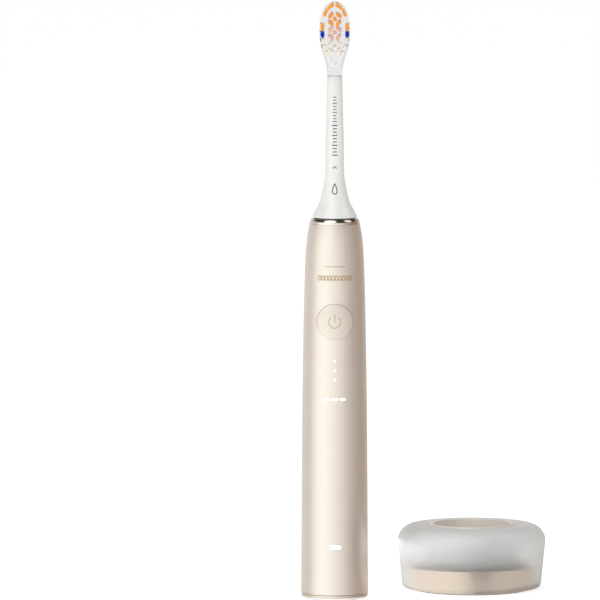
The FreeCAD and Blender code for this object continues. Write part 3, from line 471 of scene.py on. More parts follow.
@dataclass(frozen=True)
class Nylon(Finish):
    """Extruded nylon filament. Each filament has its own slight tint, and a painted glow in its own colour
    brightens it.

    Attributes:
        glow: Weight of the light scattered inside.
        painted_glow: Strength of a painted glow in the filament's own colour, standing in for light that a
            thin tip carries from the rest of the filament.
    """

    glow: float = 0.5
    painted_glow: float = 0.1

    def dress(self, graph: Graph) -> None:
        """Varies the tint from filament to filament, scatters light inside and adds a painted glow in the
        filament's own colour.

        Args:
            graph: The node tree being built.
        """
        island = graph.node("ShaderNodeNewGeometry").outputs["Random Per Island"]
        low, high = shade(self.colour, -self.vary), shade(self.colour, self.vary)
        graph.wire(Base_Color=graph.tint(island, low, high, (0.0, 1.0)))
        graph.constant(Subsurface_Weight=self.glow, Subsurface_Scale=0.6 * MM, Subsurface_Radius=WHITE)
        # Painted glow: the nylon gives off light in its own colour, which brightens the tufts.
        graph.constant(Emission_Color=(*self.colour, 1.0), Emission_Strength=self.painted_glow, IOR=1.53)


@dataclass(frozen=True)
class LitGuide(Finish):
    """A light guide with its lamp on.

    Attributes:
        light: How bright it is.
        glow: Colour of its light.
    """

    light: float = 1.6
    glow: Rgb = (1.0, 0.99, 0.97)

    def dress(self, graph: Graph) -> None:
        """Lights the guide."""
        graph.constant(Emission_Color=(*self.glow, 1.0), Emission_Strength=self.light)


CHAMPAGNE: Rgb = (0.82, 0.725, 0.64)
COPPER: Rgb = (0.72, 0.34, 0.16)


class Finishes(Enum):
    """Every finish on the object."""

    SHELL = PearlLacquer("pearl_lacquer", CHAMPAGNE, (0.33, 0.4), 0.02, 3000.0, 0.0000015)
    BUTTON = PearlLacquer("soft_touch", (0.80, 0.71, 0.62), (0.42, 0.5), 0.02, 5200.0, 0.000004, 0.6, 0.0)
    ICON = Finish("mark_inlay", (0.53, 0.43, 0.35), (0.4, 0.5))
    END_RING = PearlLacquer("deep_lacquer", (0.74, 0.62, 0.53), (0.28, 0.34), 0.02)
    TRIM = Metal("polished_rose_plate", (0.86, 0.76, 0.68), (0.05, 0.09), 0.02, 900.0, 0.0000004)
    WELL = PearlLacquer("satin_rose", (0.96, 0.89, 0.84), (0.285, 0.35), 0.02, 900.0, 0.000001, 0.3, 0.4)
    NECK = GlossPlastic("gloss_white", (0.80, 0.79, 0.765), (0.16, 0.24), 0.012, 1500.0, 0.000001)
    PLATE = ClearPlastic("clear_plate", (0.78, 0.80, 0.81), (0.03, 0.07), 0.01, 900.0, 0.000001)
    FROST = FrostedBell("frosted_bell", (0.90, 0.90, 0.895), (0.285, 0.32), 0.01, 240.0, 0.000006, ior=1.3)
    CUP = PearlLacquer("champagne_cup", (0.90, 0.735, 0.585), (0.34, 0.42), 0.02, 900.0, 0.000001)
    PAD = Finish("well_pad", (0.74, 0.70, 0.66), (0.5, 0.62))
    LAMP = LitGuide("lit_guide", (0.95, 0.95, 0.94), (0.3, 0.4), 0.02)
    DIM_LAMP = LitGuide("dim_guide", (0.93, 0.91, 0.88), (0.3, 0.4), 0.02, light=0.42)
    MILK = GlossPlastic("milky_ring", (0.93, 0.93, 0.92), (0.3, 0.38), 0.01, scatter=0.4)
    FOOT = Finish("foot_moulding", (0.60, 0.52, 0.45), (0.45, 0.58), 0.04, 3400.0, 0.000012)
    WHITE_MOULDING = Finish("white_moulding", (0.80, 0.80, 0.78), (0.4, 0.52))
    DARK_MOULDING = Finish("dark_moulding", (0.03, 0.03, 0.035), (0.35, 0.5))
    RUBBER = Finish("black_rubber", (0.035, 0.034, 0.034), (0.6, 0.75), 0.08, 3800.0, 0.00002)
    PALE_RUBBER = Finish("pale_rubber", (0.62, 0.53, 0.45), (0.6, 0.75), 0.05, 3800.0, 0.00001)
    GREY_RUBBER = Finish("grey_rubber", (0.42, 0.41, 0.40), (0.6, 0.75), 0.06, 3800.0, 0.00002)
    STEEL = Metal("ground_steel", (0.62, 0.62, 0.64), (0.18, 0.32), 0.04, 2400.0, 0.000002)
    SINTERED = Metal(
        "sintered_bronze", (0.58, 0.42, 0.22), (0.3, 0.45), 0.1, 4200.0, 0.00001, (1.0, 1.0, 1.0)
    )
    LAMINATE = Metal(
        "core_laminate", (0.24, 0.25, 0.27), (0.35, 0.5), 0.08, 2600.0, 0.00002, (0.2, 9.0, 0.2)
    )
    FERRITE = Finish("ferrite", (0.035, 0.036, 0.04), (0.45, 0.65), 0.15, 4200.0, 0.00002)
    FLAT_COIL = Winding("flat_winding", COPPER)
    ROUND_COIL = Winding("round_winding", COPPER, turns=900.0, rings=False)
    BOARD = CircuitBoard("solder_mask", (0.012, 0.12, 0.05), (0.25, 0.35))
    SLEEVE = Finish("cell_sleeve", (0.03, 0.16, 0.33), (0.22, 0.32), 0.04)
    TAG = Finish("tag_laminate", (0.10, 0.13, 0.18), (0.3, 0.4))
    AMBER = Nylon("amber_nylon", (1.0, 0.49, 0.11), (0.3, 0.42), 0.14, glow=0.3, painted_glow=0.12)
    BLUE = Nylon("blue_nylon", (0.0, 0.055, 0.60), (0.3, 0.42), 0.2)
    PINK = Nylon("pink_nylon", (0.98, 0.66, 0.54), (0.3, 0.42), 0.07)
    PEARL = Nylon("pearl_nylon", (1.0, 0.92, 0.85), (0.3, 0.42), 0.03, painted_glow=0.1)
    GOLD_FOIL = Metal("gold_foil", (0.70, 0.50, 0.27), (0.28, 0.36), 0.05, 2400.0, 0.000001)
    GREY_INK = Finish("grey_ink", (0.11, 0.105, 0.10), (0.4, 0.5))


class Palette:
    """Makes each finish once and hands it out."""

    def __init__(self) -> None:
        """Starts with nothing made."""
        self.made: dict[Finishes, bpy.types.Material] = {}

    def get(self, finish: Finishes) -> bpy.types.Material:
        """Makes a finish the first time that it is asked for.

        Args:
            finish: The finish.

        Returns:
            Its material.
        """
        if finish not in self.made:
            self.made[finish] = finish.value.make()
        return self.made[finish]

    def wear(self, piece: bpy.types.Object, finish: Finishes) -> None:
        """Gives a piece one finish all over."""
        piece.data.materials.clear()
        piece.data.materials.append(self.get(finish))


NODE_FINISHES: dict[Finishes, tuple[str, ...]] = {
    Finishes.SHELL: ("handle_shell",),
    Finishes.BUTTON: ("power_button",),
    Finishes.ICON: ("power_icon",),
    Finishes.END_RING: ("end_ring",),
    Finishes.TRIM: ("top_trim_ring",),
    Finishes.WELL: ("well_liner",),
    Finishes.PLATE: ("head_plate",),
    Finishes.FROST: ("charger_body",),
    Finishes.CUP: ("base_cup",),
    Finishes.PAD: ("charging_pad",),
    Finishes.LAMP: ("status_lights", "battery_light"),
    Finishes.DIM_LAMP: ("mode_lights",),
    Finishes.MILK: ("light_ring",),
    Finishes.FOOT: ("end_cap", "base_plate"),
    Finishes.WHITE_MOULDING: ("inner_frame", "shaft_socket", "spring_hub", "switch_plunger"),
    Finishes.DARK_MOULDING: ("switch_body", "board_parts", "charger_parts"),
    Finishes.RUBBER: ("shaft_seal", "end_cap_seal", "motor_pad"),
    Finishes.PALE_RUBBER: ("button_gasket",),
    Finishes.GREY_RUBBER: ("foot_ring", "cable_gland"),
    Finishes.STEEL: (
        "drive_shaft", "drive_spring", "rotor_yoke", "rotor_magnets", "grip_clip", "frame_screws",
        "battery_contacts", "charger_screws",
    ),
    Finishes.SINTERED: ("upper_bush", "lower_bush"),
    Finishes.LAMINATE: ("stator_core",),
    Finishes.FERRITE: ("receiver_ferrite", "coil_ferrite"),
    Finishes.FLAT_COIL: ("receiver_coil", "tag_reader_coil", "primary_coil"),
    Finishes.ROUND_COIL: ("stator_coil",),
    Finishes.BOARD: ("main_board", "charger_board"),
    Finishes.SLEEVE: ("battery_cell",),
    Finishes.TAG: ("sync_tag",),
}


# ---------------------------------------- mesh helpers
@dataclass
class Skin:
    """Points and faces of a new piece, gathered part by part.

    Attributes:
        points: Its points, in metres.
        faces: Its faces, as indices into the points.
    """

    points: list[Sequence[float]] = field(default_factory=list)
    faces: list[Face] = field(default_factory=list)

    def tube(self, rings: Sequence[Sequence[Vector]], tip: Vector | None = None) -> None:
        """Adds a closed tube.

        Args:
            rings: Its rings in order, all with the same number of points.
            tip: The point that the last ring runs up to, if it doesn't end flat.
        """
        base, count = len(self.points), len(rings[0])
        around = [(i, (i + 1) % count) for i in range(count)]
        for ring in rings:
            self.points += ring
        last = len(self.points) - count
        for low in range(base, last, count):
            self.faces += [(low + i, low + j, low + count + j, low + count + i) for i, j in around]
        if tip is None:
            self.faces.append(tuple(range(last, last + count)))
        else:
            self.points.append(tip)
            self.faces += [(last + i, last + j, last + count) for i, j in around]
        self.faces.append(tuple(reversed(range(base, base + count))))

    def piece(self, name: str) -> bpy.types.Object:
        """Makes a smooth-shaded piece.

        Args:
            name: The piece's name.

        Returns:
            The new object, linked to the scene.
        """
        mesh = bpy.data.meshes.new(name)
        mesh.from_pydata([tuple(v) for v in self.points], [], self.faces)
        mesh.validate()
        mesh.shade_smooth()
        made = bpy.data.objects.new(name, mesh)
        bpy.context.scene.collection.objects.link(made)
        LOG.info("%s: %d faces", name, len(self.faces))
        return made


def islands(node: str) -> list[numpy.ndarray]:
    """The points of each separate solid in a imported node.

    Args:
        node: The node's name.

    Returns:
        One array of points for each solid.
    """
    form = bmesh.new()
    form.from_mesh(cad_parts[node].data)
    bmesh.ops.remove_doubles(form, verts=form.verts, dist=1e-7)
    unseen = set(form.verts)
    found = []
    while unseen:
        stack, group = [unseen.pop()], []
        while stack:
            vert = stack.pop()
            group.append(tuple(vert.co))
            for edge in vert.link_edges:
                other = edge.other_vert(vert)
                if other in unseen:
                    unseen.discard(other)
                    stack.append(other)
        found.append(numpy.array(group))
    form.free()
    return found


class TurnedSkin:
    """The outside of a piece that is turned about the handle's axis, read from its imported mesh."""

    def __init__(self, node: str, rows: int = 240) -> None:
        """Reads the outline.

        Args:
            node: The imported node's name.
            rows: How many heights the outline is read at.
        """
        points = numpy.array([tuple(v.co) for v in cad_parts[node].data.vertices])
        radius = numpy.hypot(points[:, 0], points[:, 1])
        height = points[:, 2]
        self.low, self.high = float(height.min()), float(height.max())
        edges = numpy.linspace(self.low, self.high, rows + 1)
        slots = numpy.clip(numpy.digitize(height, edges) - 1, 0, rows - 1)
        heights, radii = [], []
        for slot in range(rows):
            inside = slots == slot
            if inside.any():
                best = numpy.argmax(numpy.where(inside, radius, -1.0))
                heights.append(height[best])
                radii.append(radius[best])
        self.heights, self.radii = numpy.array(heights), numpy.array(radii)

    def radius(self, height: float) -> float:
        """The outside radius at a height."""
        return float(numpy.interp(height, self.heights, self.radii))

    def point(self, across: float, height: float, lift: float) -> Vector:
        """A point on the front of the skin.

        Args:
            across: Distance round the skin from its front line, in metres.
            height: Height, in metres.
            lift: How far the point stands off the skin.

        Returns:
            The point.
        """
        radius = self.radius(height)
        turn = across / radius
        reach = radius + lift
        return Vector((reach * math.sin(turn), -reach * math.cos(turn), height))


# ---------------------------------------- brush head
@dataclass
class Tuft:
    """One tuft's place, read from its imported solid.

    Attributes:
        centre: Its middle, across and up.
        along: Direction of its long side.
        half_length: Half its long side.
        half_width: Half its short side.
        tip: Where its tips are, front to back.
        root: Where it ends in the plate.
    """

    centre: numpy.ndarray
    along: numpy.ndarray
    half_length: float
    half_width: float
    tip: float
    root: float

    @classmethod
    def read(cls, points: numpy.ndarray) -> "Tuft":
        """Measures a tuft.

        Args:
            points: The points of its solid.

        Returns:
            The tuft.
        """
        flat = points[:, [0, 2]]
        centre = (flat.min(0) + flat.max(0)) / 2
        spread = numpy.cov((flat - centre).T)
        along = numpy.linalg.eigh(spread)[1][:, -1]
        across = numpy.array([-along[1], along[0]])
        half_length = float(numpy.abs((flat - centre) @ along).max())
        half_width = float(numpy.abs((flat - centre) @ across).max())
        front, root = float(points[:, 1].min()), float(points[:, 1].max())
        return cls(centre, along, half_length, half_width, front, root)

    def holds(self, u: float, v: float, margin: float) -> bool:
        """Tells whether a place is inside the tuft's rounded outline.

        Args:
            u: How far along the tuft it is.
            v: How far across.
            margin: How far inside it has to be.

        Returns:
            Whether it is inside.
        """
        straight = self.half_length - self.half_width
        beyond = max(0.0, abs(u) - straight)
        return math.hypot(beyond, v) <= self.half_width - margin


@dataclass
class Bristles:
    """The bristle field, made filament by filament.

    Attributes:
        filament_radius: Radius of one filament.
        pitch: Distance between neighbours at the root.
        sides: Sides of a filament's section.
        splay: How far the tips lean out of the tuft's middle, as a share of their distance from it.
        uneven: How much the lengths differ.
        lean: How far a tip strays sideways at random.
        colours: The finish of each tuft group.
        THICKNESS: How the radius differs from one filament to the next.
        STRAIGHT: Share of the length, from the root, that doesn't lean.
        STEM: Stations up the filament, as shares of its length.
        ROUNDING: How far below the tip each ring of the rounding lies, in radii, and its size.
    """

    filament_radius: float = 0.096 * MM
    pitch: float = 0.2 * MM
    sides: int = 6
    splay: float = 0.1
    uneven: float = 0.22 * MM
    lean: float = 0.05 * MM
    colours: dict[str, Finishes] = field(default_factory=lambda: {
        "tufts_outer_amber": Finishes.AMBER,
        "tufts_cross_amber": Finishes.AMBER,
        "tufts_blue": Finishes.BLUE,
        "tufts_cross_pink": Finishes.PINK,
        "tufts_outer_pearl": Finishes.PEARL,
        "tufts_cross_pearl": Finishes.PEARL,
    })
    THICKNESS: ClassVar[Pair] = (0.94, 1.06)
    STRAIGHT: ClassVar[float] = 0.12
    STEM: ClassVar[Sequence[float]] = (0.0, 0.25, 0.7)
    ROUNDING: ClassVar[Sequence[Pair]] = ((0.9, 0.96), (0.25, 0.6))

    def spots(self, tuft: Tuft) -> list[Pair]:
        """Where the filaments stand in a tuft: rows packed like round rods.

        Args:
            tuft: The tuft.

        Returns:
            Places along and across it.
        """
        step = self.pitch * math.sqrt(3) / 2
        rows = int(tuft.half_width / step) + 1
        columns = int(tuft.half_length / self.pitch) + 1
        places = []
        for row in range(-rows, rows + 1):
            shift = self.pitch / 2 if row % 2 else 0.0
            for column in range(-columns, columns + 1):
                u, v = column * self.pitch + shift, row * step
                if tuft.holds(u, v, self.filament_radius):
                    places.append((u, v))
        return places

    def filament(self, skin: Skin, tuft: Tuft, spot: Pair, dice: random.Random) -> None:
        """Adds one filament, closed at its root and rounded at its tip.

        Args:
            skin: What it is added to.
            tuft: The tuft that it stands in.
            spot: Its place along and across the tuft.
            dice: The seeded source of small differences.
        """
        across = numpy.array([-tuft.along[1], tuft.along[0]])
        foot = tuft.centre + tuft.along * spot[0] + across * spot[1]
        out = (foot - tuft.centre) * self.splay
        end = foot + out + numpy.array([dice.gauss(0, self.lean), dice.gauss(0, self.lean)])
        tip = tuft.tip + dice.random() * self.uneven
        length = tuft.root - tip
        radius = self.filament_radius * dice.uniform(*self.THICKNESS)
        turn = dice.random()
        stations = [(share, 1.0) for share in self.STEM]
        stations += [(1.0 - below * radius / length, size) for below, size in self.ROUNDING]
        angles = [2 * math.pi * (side + turn) / self.sides for side in range(self.sides)]
        rings = []
        for share, size in stations:
            x, z = foot + (end - foot) * max(0.0, share - self.STRAIGHT) ** 2
            y, wide = tuft.root - share * length, radius * size
            rings.append([Vector((x + wide * math.cos(a), y, z + wide * math.sin(a))) for a in angles])
        skin.tube(rings, Vector((end[0], tip, end[1])))

    def build(self, palette: Palette) -> None:
        """Makes one piece for each colour group.

        Args:
            palette: The finishes.
        """
        for node, finish in self.colours.items():
            dice = random.Random(node)
            skin = Skin()
            for tuft in sorted(map(Tuft.read, islands(node)), key=lambda t: tuple(t.centre)):
                for spot in self.spots(tuft):
                    self.filament(skin, tuft, spot, dice)
            piece = skin.piece(node.replace("tufts", "bristles"))
            palette.wear(piece, finish)
            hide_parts(node)
            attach(piece, Body.BRUSH_HEAD.value)


@dataclass
class Neck:
    """The white neck: a round flared skirt that flattens towards the clear plate.

    Attributes:
        around: Points round each ring.
        rows: Rings up the outside.
        wall: Wall of the skirt.
        bore: Radius of the socket's bore.
        throat: Height of the bore's start above the skirt's edge.
        lip: Rounding of the skirt's edge.
        FLATTENS: Share of its height at which it starts to flatten.
        GAP: How far it stands clear of the plate and the socket.
        SKIRT: How far up the skirt's inside follows the outside.
        SKIRT_RINGS: Rings up the skirt's inside.
        INNER_LIP: Rounding inside the edge, across and up, as shares of the lip.
        CORNER: Turns through a rounded edge, in degrees.
    """

    around: int = 96
    rows: int = 110
    wall: float = 1.0 * MM
    bore: float = 3.0 * MM
    throat: float = 16.0 * MM
    lip: float = 0.25 * MM
    FLATTENS: ClassVar[float] = 0.45
    GAP: ClassVar[float] = 0.05 * MM
    SKIRT: ClassVar[float] = 10.0 * MM
    SKIRT_RINGS: ClassVar[int] = 12
    INNER_LIP: ClassVar[Pair] = (0.5, 0.4)
    CORNER: ClassVar[Sequence[int]] = (30, 60, 90)

    def __post_init__(self) -> None:
        """Reads the neck's outline and the plate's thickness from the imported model."""
        self.skin = TurnedSkin("neck_body", 90)
        self.low, self.high = self.skin.low, self.skin.high
        plate_low, plate_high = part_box("head_plate")
        self.top_depth = (plate_high.y - plate_low.y) / 2 + self.GAP
        self.socket_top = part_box("shaft_socket")[1].z + self.GAP

    def depth_share(self, height: float) -> float:
        """Tells how flat the neck is.

        Args:
            height: The height.

        Returns:
            Its depth there, as a share of its width.
        """
        start = self.low + self.FLATTENS * (self.high - self.low)
        share = min(1.0, max(0.0, (height - start) / (self.high - start)))
        eased = share * share * (3 - 2 * share)
        return 1.0 + eased * (self.top_depth / self.skin.radius(self.high) - 1.0)

    def point(self, across: float, height: float, lift: float) -> Vector:
        """A point on the neck's front.

        Args:
            across: Distance round the neck from its front line.
            height: Height.
            lift: How far the point stands off the surface.

        Returns:
            The point.
        """
        spot = self.skin.point(across, height, lift)
        spot.y *= self.depth_share(height)
        return spot

    def ring(self, radius: float, height: float, flat: float = 1.0) -> list[Vector]:
        """A closed ring of points round the axis; flat is its depth as a share of its width."""
        turns = [2 * math.pi * i / self.around for i in range(self.around)]
        return [Vector((radius * math.cos(t), radius * flat * math.sin(t), height)) for t in turns]

    def outline(self) -> list[tuple[float, float, float]]:
        """Lays out the rings, from the bore's roof down and up the outside.

        Returns:
            Radius, height and flatness of every ring.
        """
        low, lip, mouth = self.low, self.lip, self.skin.radius(self.low)
        reach = self.high - low
        rings = [(self.bore, self.socket_top, 1.0), (self.bore, low + self.throat, 1.0)]
        for step in range(self.SKIRT_RINGS, 0, -1):
            height = low + self.SKIRT * step / self.SKIRT_RINGS
            rings.append((self.skin.radius(height) - self.wall, height, 1.0))
        rings.append((mouth - self.wall, low + lip, 1.0))
        share, drop = self.INNER_LIP
        for turn in self.CORNER[:2]:
            fall = lip * (1 - math.cos(math.radians(turn)))
            rings.append((mouth - self.wall + lip * share, low + fall * drop, 1.0))
        rings.append((mouth - lip, low, 1.0))
        for angle in map(math.radians, self.CORNER):
            rings.append((mouth - lip * (1 - math.sin(angle)), low + lip * (1 - math.cos(angle)), 1.0))
        for row in range(1, self.rows + 1):
            height = low + lip + (reach - 2 * lip) * row / self.rows
            rings.append((self.skin.radius(height), height, self.depth_share(height)))
        top = self.skin.radius(self.high)
        for angle in map(math.radians, self.CORNER):
            height = self.high - lip * (1 - math.sin(angle))
            rings.append((top - lip * (1 - math.cos(angle)), height, self.depth_share(self.high)))
        return rings

    def build(self, palette: Palette) -> None:
        """Makes the neck.

        Args:
            palette: The finishes.
        """
        skin = Skin()
        skin.tube([self.ring(*numbers) for numbers in self.outline()])
        piece = skin.piece("brush_neck")
        palette.wear(piece, Finishes.NECK)
        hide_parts("neck_body")
        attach(piece, Body.BRUSH_HEAD.value)


# ---------------------------------------- printed marks
@dataclass
class Marks:
    """Thin printed marks that hug a curved surface: plain strokes and outlines, no lettering.

    Attributes:
        lift: How proud the ink stands.
        sink: How far it reaches into the surface.
        step: Longest stretch of a stroke between two sections.
        DROP_SIDES: Straight parts in the outline of a drop.
        DROP_WIDTH: Width of a drop, as a share of its height.
        DROP_TAPER: How sharply it narrows to its point.
    """

    lift: float = 0.02 * MM
    sink: float = 0.02 * MM
    step: float = 0.25 * MM
    DROP_SIDES: ClassVar[int] = 32
    DROP_WIDTH: ClassVar[float] = 0.62
    DROP_TAPER: ClassVar[float] = 1.4

    def stroke(self, skin: Skin, surface: Surface, path: Sequence[Pair], width: float) -> None:
        """Adds one stroke of even width along a path on the surface.

        Args:
            skin: What it is added to.
            surface: Gives a point for (across, height, lift).
            path: Points (across, height) of its middle line.
            width: Its width.
        """
        dense = [path[0]]
        for start, end in zip(path, path[1:]):
            reach = math.dist(start, end)
            parts = max(1, math.ceil(reach / self.step))
            dense += [
                (start[0] + (end[0] - start[0]) * i / parts, start[1] + (end[1] - start[1]) * i / parts)
                for i in range(1, parts + 1)
            ]
        rings = []
        for index, (x, z) in enumerate(dense):
            before, after = dense[max(0, index - 1)], dense[min(len(dense) - 1, index + 1)]
            run = math.dist(before, after) or 1.0
            side = (-(after[1] - before[1]) / run * width / 2, (after[0] - before[0]) / run * width / 2)
            left, right = (x + side[0], z + side[1]), (x - side[0], z - side[1])
            edges = ((left, self.lift), (right, self.lift), (right, -self.sink), (left, -self.sink))
            rings.append([surface(*spot, lift) for spot, lift in edges])
        skin.tube(rings)

    def print(
        self, name: str, surface: Surface, strokes: Sequence[tuple[Sequence[Pair], float]]
    ) -> bpy.types.Object:
        """Prints several strokes as one piece.

        Args:
            name: The piece's name.
            surface: The surface that they lie on.
            strokes: Each stroke's path and width.

        Returns:
            The printed piece.
        """
        skin = Skin()
        for path, width in strokes:
            self.stroke(skin, surface, path, width)
        piece = skin.piece(name)
        form = bmesh.new()
        form.from_mesh(piece.data)
        bmesh.ops.recalc_face_normals(form, faces=form.faces)
        form.to_mesh(piece.data)
        form.free()
        return piece

    @classmethod
    def drop(cls, middle: Pair, size: float) -> list[Pair]:
        """Draws a water drop, its point up.

        Args:
            middle: Its middle, across and up.
            size: Half its height.

        Returns:
            Its outline.
        """
        path = []
        for index in range(cls.DROP_SIDES + 1):
            turn = 2 * math.pi * index / cls.DROP_SIDES
            half = size * cls.DROP_WIDTH * math.sin(turn) * math.sin(turn / 2) ** cls.DROP_TAPER
            path.append((middle[0] + half, middle[1] + size * math.cos(turn)))
        return path


@dataclass
class HandlePrint:
    """The gold ornament above the power button: a row of dashes over a plaited double wave.

    Attributes:
        rise: Height of the wave's middle above the button's centre.
        reach: Half length of the wave.
        swing: Half height of the wave.
        waves: Number of full waves.
        dash_rise: Height of the dashes above the wave.
        dashes: Number of dashes.
        dash: Length of a dash.
        pitch: Distance between dashes.
        weight: Width of the strokes.
        SMOOTH: Points of the path in one wave.
        LIFTS: How proud the first strand and the one that crosses it stand.
    """

    rise: float = 18.3 * MM
    reach: float = 7.3 * MM
    swing: float = 0.95 * MM
    waves: int = 5
    dash_rise: float = 4.8 * MM
    dashes: int = 7
    dash: float = 0.75 * MM
    pitch: float = 1.3 * MM
    weight: float = 0.42 * MM
    SMOOTH: ClassVar[int] = 24
    LIFTS: ClassVar[Pair] = (0.02 * MM, 0.032 * MM)

    def strand(self, height: float, side: int) -> list[Pair]:
        """One strand of the plait.

        Args:
            height: Height of its middle line.
            side: 1 or -1, which way it starts.

        Returns:
            Its path.
        """
        count = self.waves * self.SMOOTH
        path = []
        for index in range(count + 1):
            share = index / count
            lift = side * self.swing * math.sin(2 * math.pi * self.waves * share)
            path.append(((2 * share - 1) * self.reach, height + lift))
        return path

    def build(self, palette: Palette) -> None:
        """Prints the ornament.

        Args:
            palette: The finishes.
        """
        low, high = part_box("power_button")
        height = (low.z + high.z) / 2 + self.rise
        skin = TurnedSkin("handle_shell").point
        upper = height + self.dash_rise
        strokes: list[tuple[Sequence[Pair], float]] = [(self.strand(height, 1), self.weight)]
        for index in range(self.dashes):
            middle = (index - (self.dashes - 1) / 2) * self.pitch
            strokes.append((((middle - self.dash / 2, upper), (middle + self.dash / 2, upper)), self.weight))
        over = [(self.strand(height, -1), self.weight)]
        for name, lift, group in zip(("gold_wave", "gold_overwave"), self.LIFTS, (strokes, over)):
            piece = Marks(lift=lift).print(name, skin, group)
            palette.wear(piece, Finishes.GOLD_FOIL)
            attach(piece, Body.HANDLE.value)


@dataclass
class NeckPrint:
    """The grey marks up the neck: two runs of short ticks, a chevron and a water drop.

    Attributes:
        runs: Start above the skirt's edge, number, pitch, half length and weight of each run's ticks.
        chevron: Height of the chevron above the skirt's edge.
        drop: Height of the drop's middle above the skirt's edge.
        drop_size: Half height of the drop.
        weight: Width of the drop's stroke.
        EVERY: One tick in so many is long.
        SHORT: Length of the others, as a share.
        PEAK: Half width and height of the chevron.
        THIN: Weight of the chevron's stroke, as a share.
    """

    runs: tuple[tuple[float, int, float, float, float], ...] = (
        (26.2 * MM, 10, 1.38 * MM, 1.15 * MM, 0.44 * MM),
        (40.2 * MM, 9, 1.28 * MM, 0.95 * MM, 0.34 * MM),
    )
    chevron: float = 20.6 * MM
    drop: float = 12.2 * MM
    drop_size: float = 2.2 * MM
    weight: float = 0.42 * MM
    EVERY: ClassVar[int] = 3
    SHORT: ClassVar[float] = 0.72
    PEAK: ClassVar[Pair] = (0.8 * MM, 0.9 * MM)
    THIN: ClassVar[float] = 0.8

    def build(self, palette: Palette, neck: Neck) -> None:
        """Prints the marks.

        Args:
            palette: The finishes.
            neck: The neck that they lie on.
        """
        strokes: list[tuple[Sequence[Pair], float]] = []
        for start, count, pitch, half, weight in self.runs:
            for index in range(count):
                height = neck.low + start + index * pitch
                reach = half * (1.0 if index % self.EVERY == 0 else self.SHORT)
                strokes.append((((-reach, height), (reach, height)), weight))
        foot = neck.low + self.chevron
        wide, tall = self.PEAK
        strokes.append((((-wide, foot), (0.0, foot + tall), (wide, foot)), self.weight * self.THIN))
        strokes.append((Marks.drop((0.0, neck.low + self.drop), self.drop_size), self.weight))
        piece = Marks().print("neck_marks", neck.point, strokes)
        palette.wear(piece, Finishes.GREY_INK)
        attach(piece, Body.BRUSH_HEAD.value)


@dataclass
class PlateRib:
    """The milky V-shaped rib moulded into the front of the clear plate, below the bristles.

    Attributes:
        arm: Points of the right arm from the V's foot up: distance from the middle, height above the neck.
        width: Width of the rib.
        proud: How far it stands off the plate.
        depth: How far it reaches into the plate.
    """

    arm: tuple[Pair, ...] = (
        (0.0, 4.4 * MM), (1.1 * MM, 4.8 * MM), (2.0 * MM, 5.9 * MM),
        (2.7 * MM, 7.8 * MM), (3.25 * MM, 10.4 * MM),
    )
    width: float = 1.25 * MM
    proud: float = 0.12 * MM
    depth: float = 0.45 * MM

    def build(self, palette: Palette) -> None:
        """Builds the rib.

        Args:
            palette: The finishes.
        """
        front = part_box("head_plate")[0].y
        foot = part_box("neck_body")[1].z

        def face(across: float, height: float, lift: float) -> Vector:
            """A point on the plate's flat front."""
            return Vector((across, front - lift, height))

        right = [(across, foot + height) for across, height in self.arm]
        left = [(-across, height) for across, height in reversed(right[1:])]
        piece = Marks(self.proud, self.depth).print("plate_rib", face, [(left + right, self.width)])
        palette.wear(piece, Finishes.MILK)
        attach(piece, Body.BRUSH_HEAD.value)


# ---------------------------------------- carried-over pieces
class CarriedPieces:
    """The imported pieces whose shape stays, each with its finish."""

    def build(self, palette: Palette) -> None:
        """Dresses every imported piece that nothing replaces.

        Args:
            palette: The finishes.
        """
        for finish, nodes in NODE_FINISHES.items():
            for node in nodes:
                palette.wear(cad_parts[node], finish)
                LOG.info("%s: %s", node, finish.value.name)


# ---------------------------------------- studio
def heading(turn: float, rise: float) -> Vector:
    """The direction at a turn from the front and a height above the horizon, both in degrees."""
    around, up = math.radians(turn), math.radians(rise)
    return Vector((math.sin(around) * math.cos(up), -math.cos(around) * math.cos(up), math.sin(up)))


@dataclass
class Softbox:
    """A square lamp that faces the object. Polished surfaces don't mirror it.

    Attributes:
        name: Its name.
        turn: Where it stands, in degrees from the front towards the right.
        rise: Its height above the horizon, in degrees.
        away: Its distance.
        width: Its side.
        watts: Its power.
    """

    name: str
    turn: float
    rise: float
    away: float
    width: float
    watts: float

    def build(self, target: Vector) -> None:
        """Hangs the lamp.

        Args:
            target: What it faces.
        """
        lamp = bpy.data.lights.new(self.name, "AREA")
        lamp.shape = "SQUARE"
        lamp.size = self.width
        lamp.energy = self.watts
        holder = bpy.data.objects.new(self.name, lamp)
        side = heading(self.turn, self.rise)
        holder.location = target + side * self.away
        holder.rotation_mode = "QUATERNION"
        holder.rotation_quaternion = side.to_track_quat("Z", "Y")
        holder.visible_camera = False
        holder.visible_glossy = False
        bpy.context.scene.collection.objects.link(holder)


def grey(level: float) -> Rgb:
    """A plain grey, by how pale it is."""
    return (level, level, level)


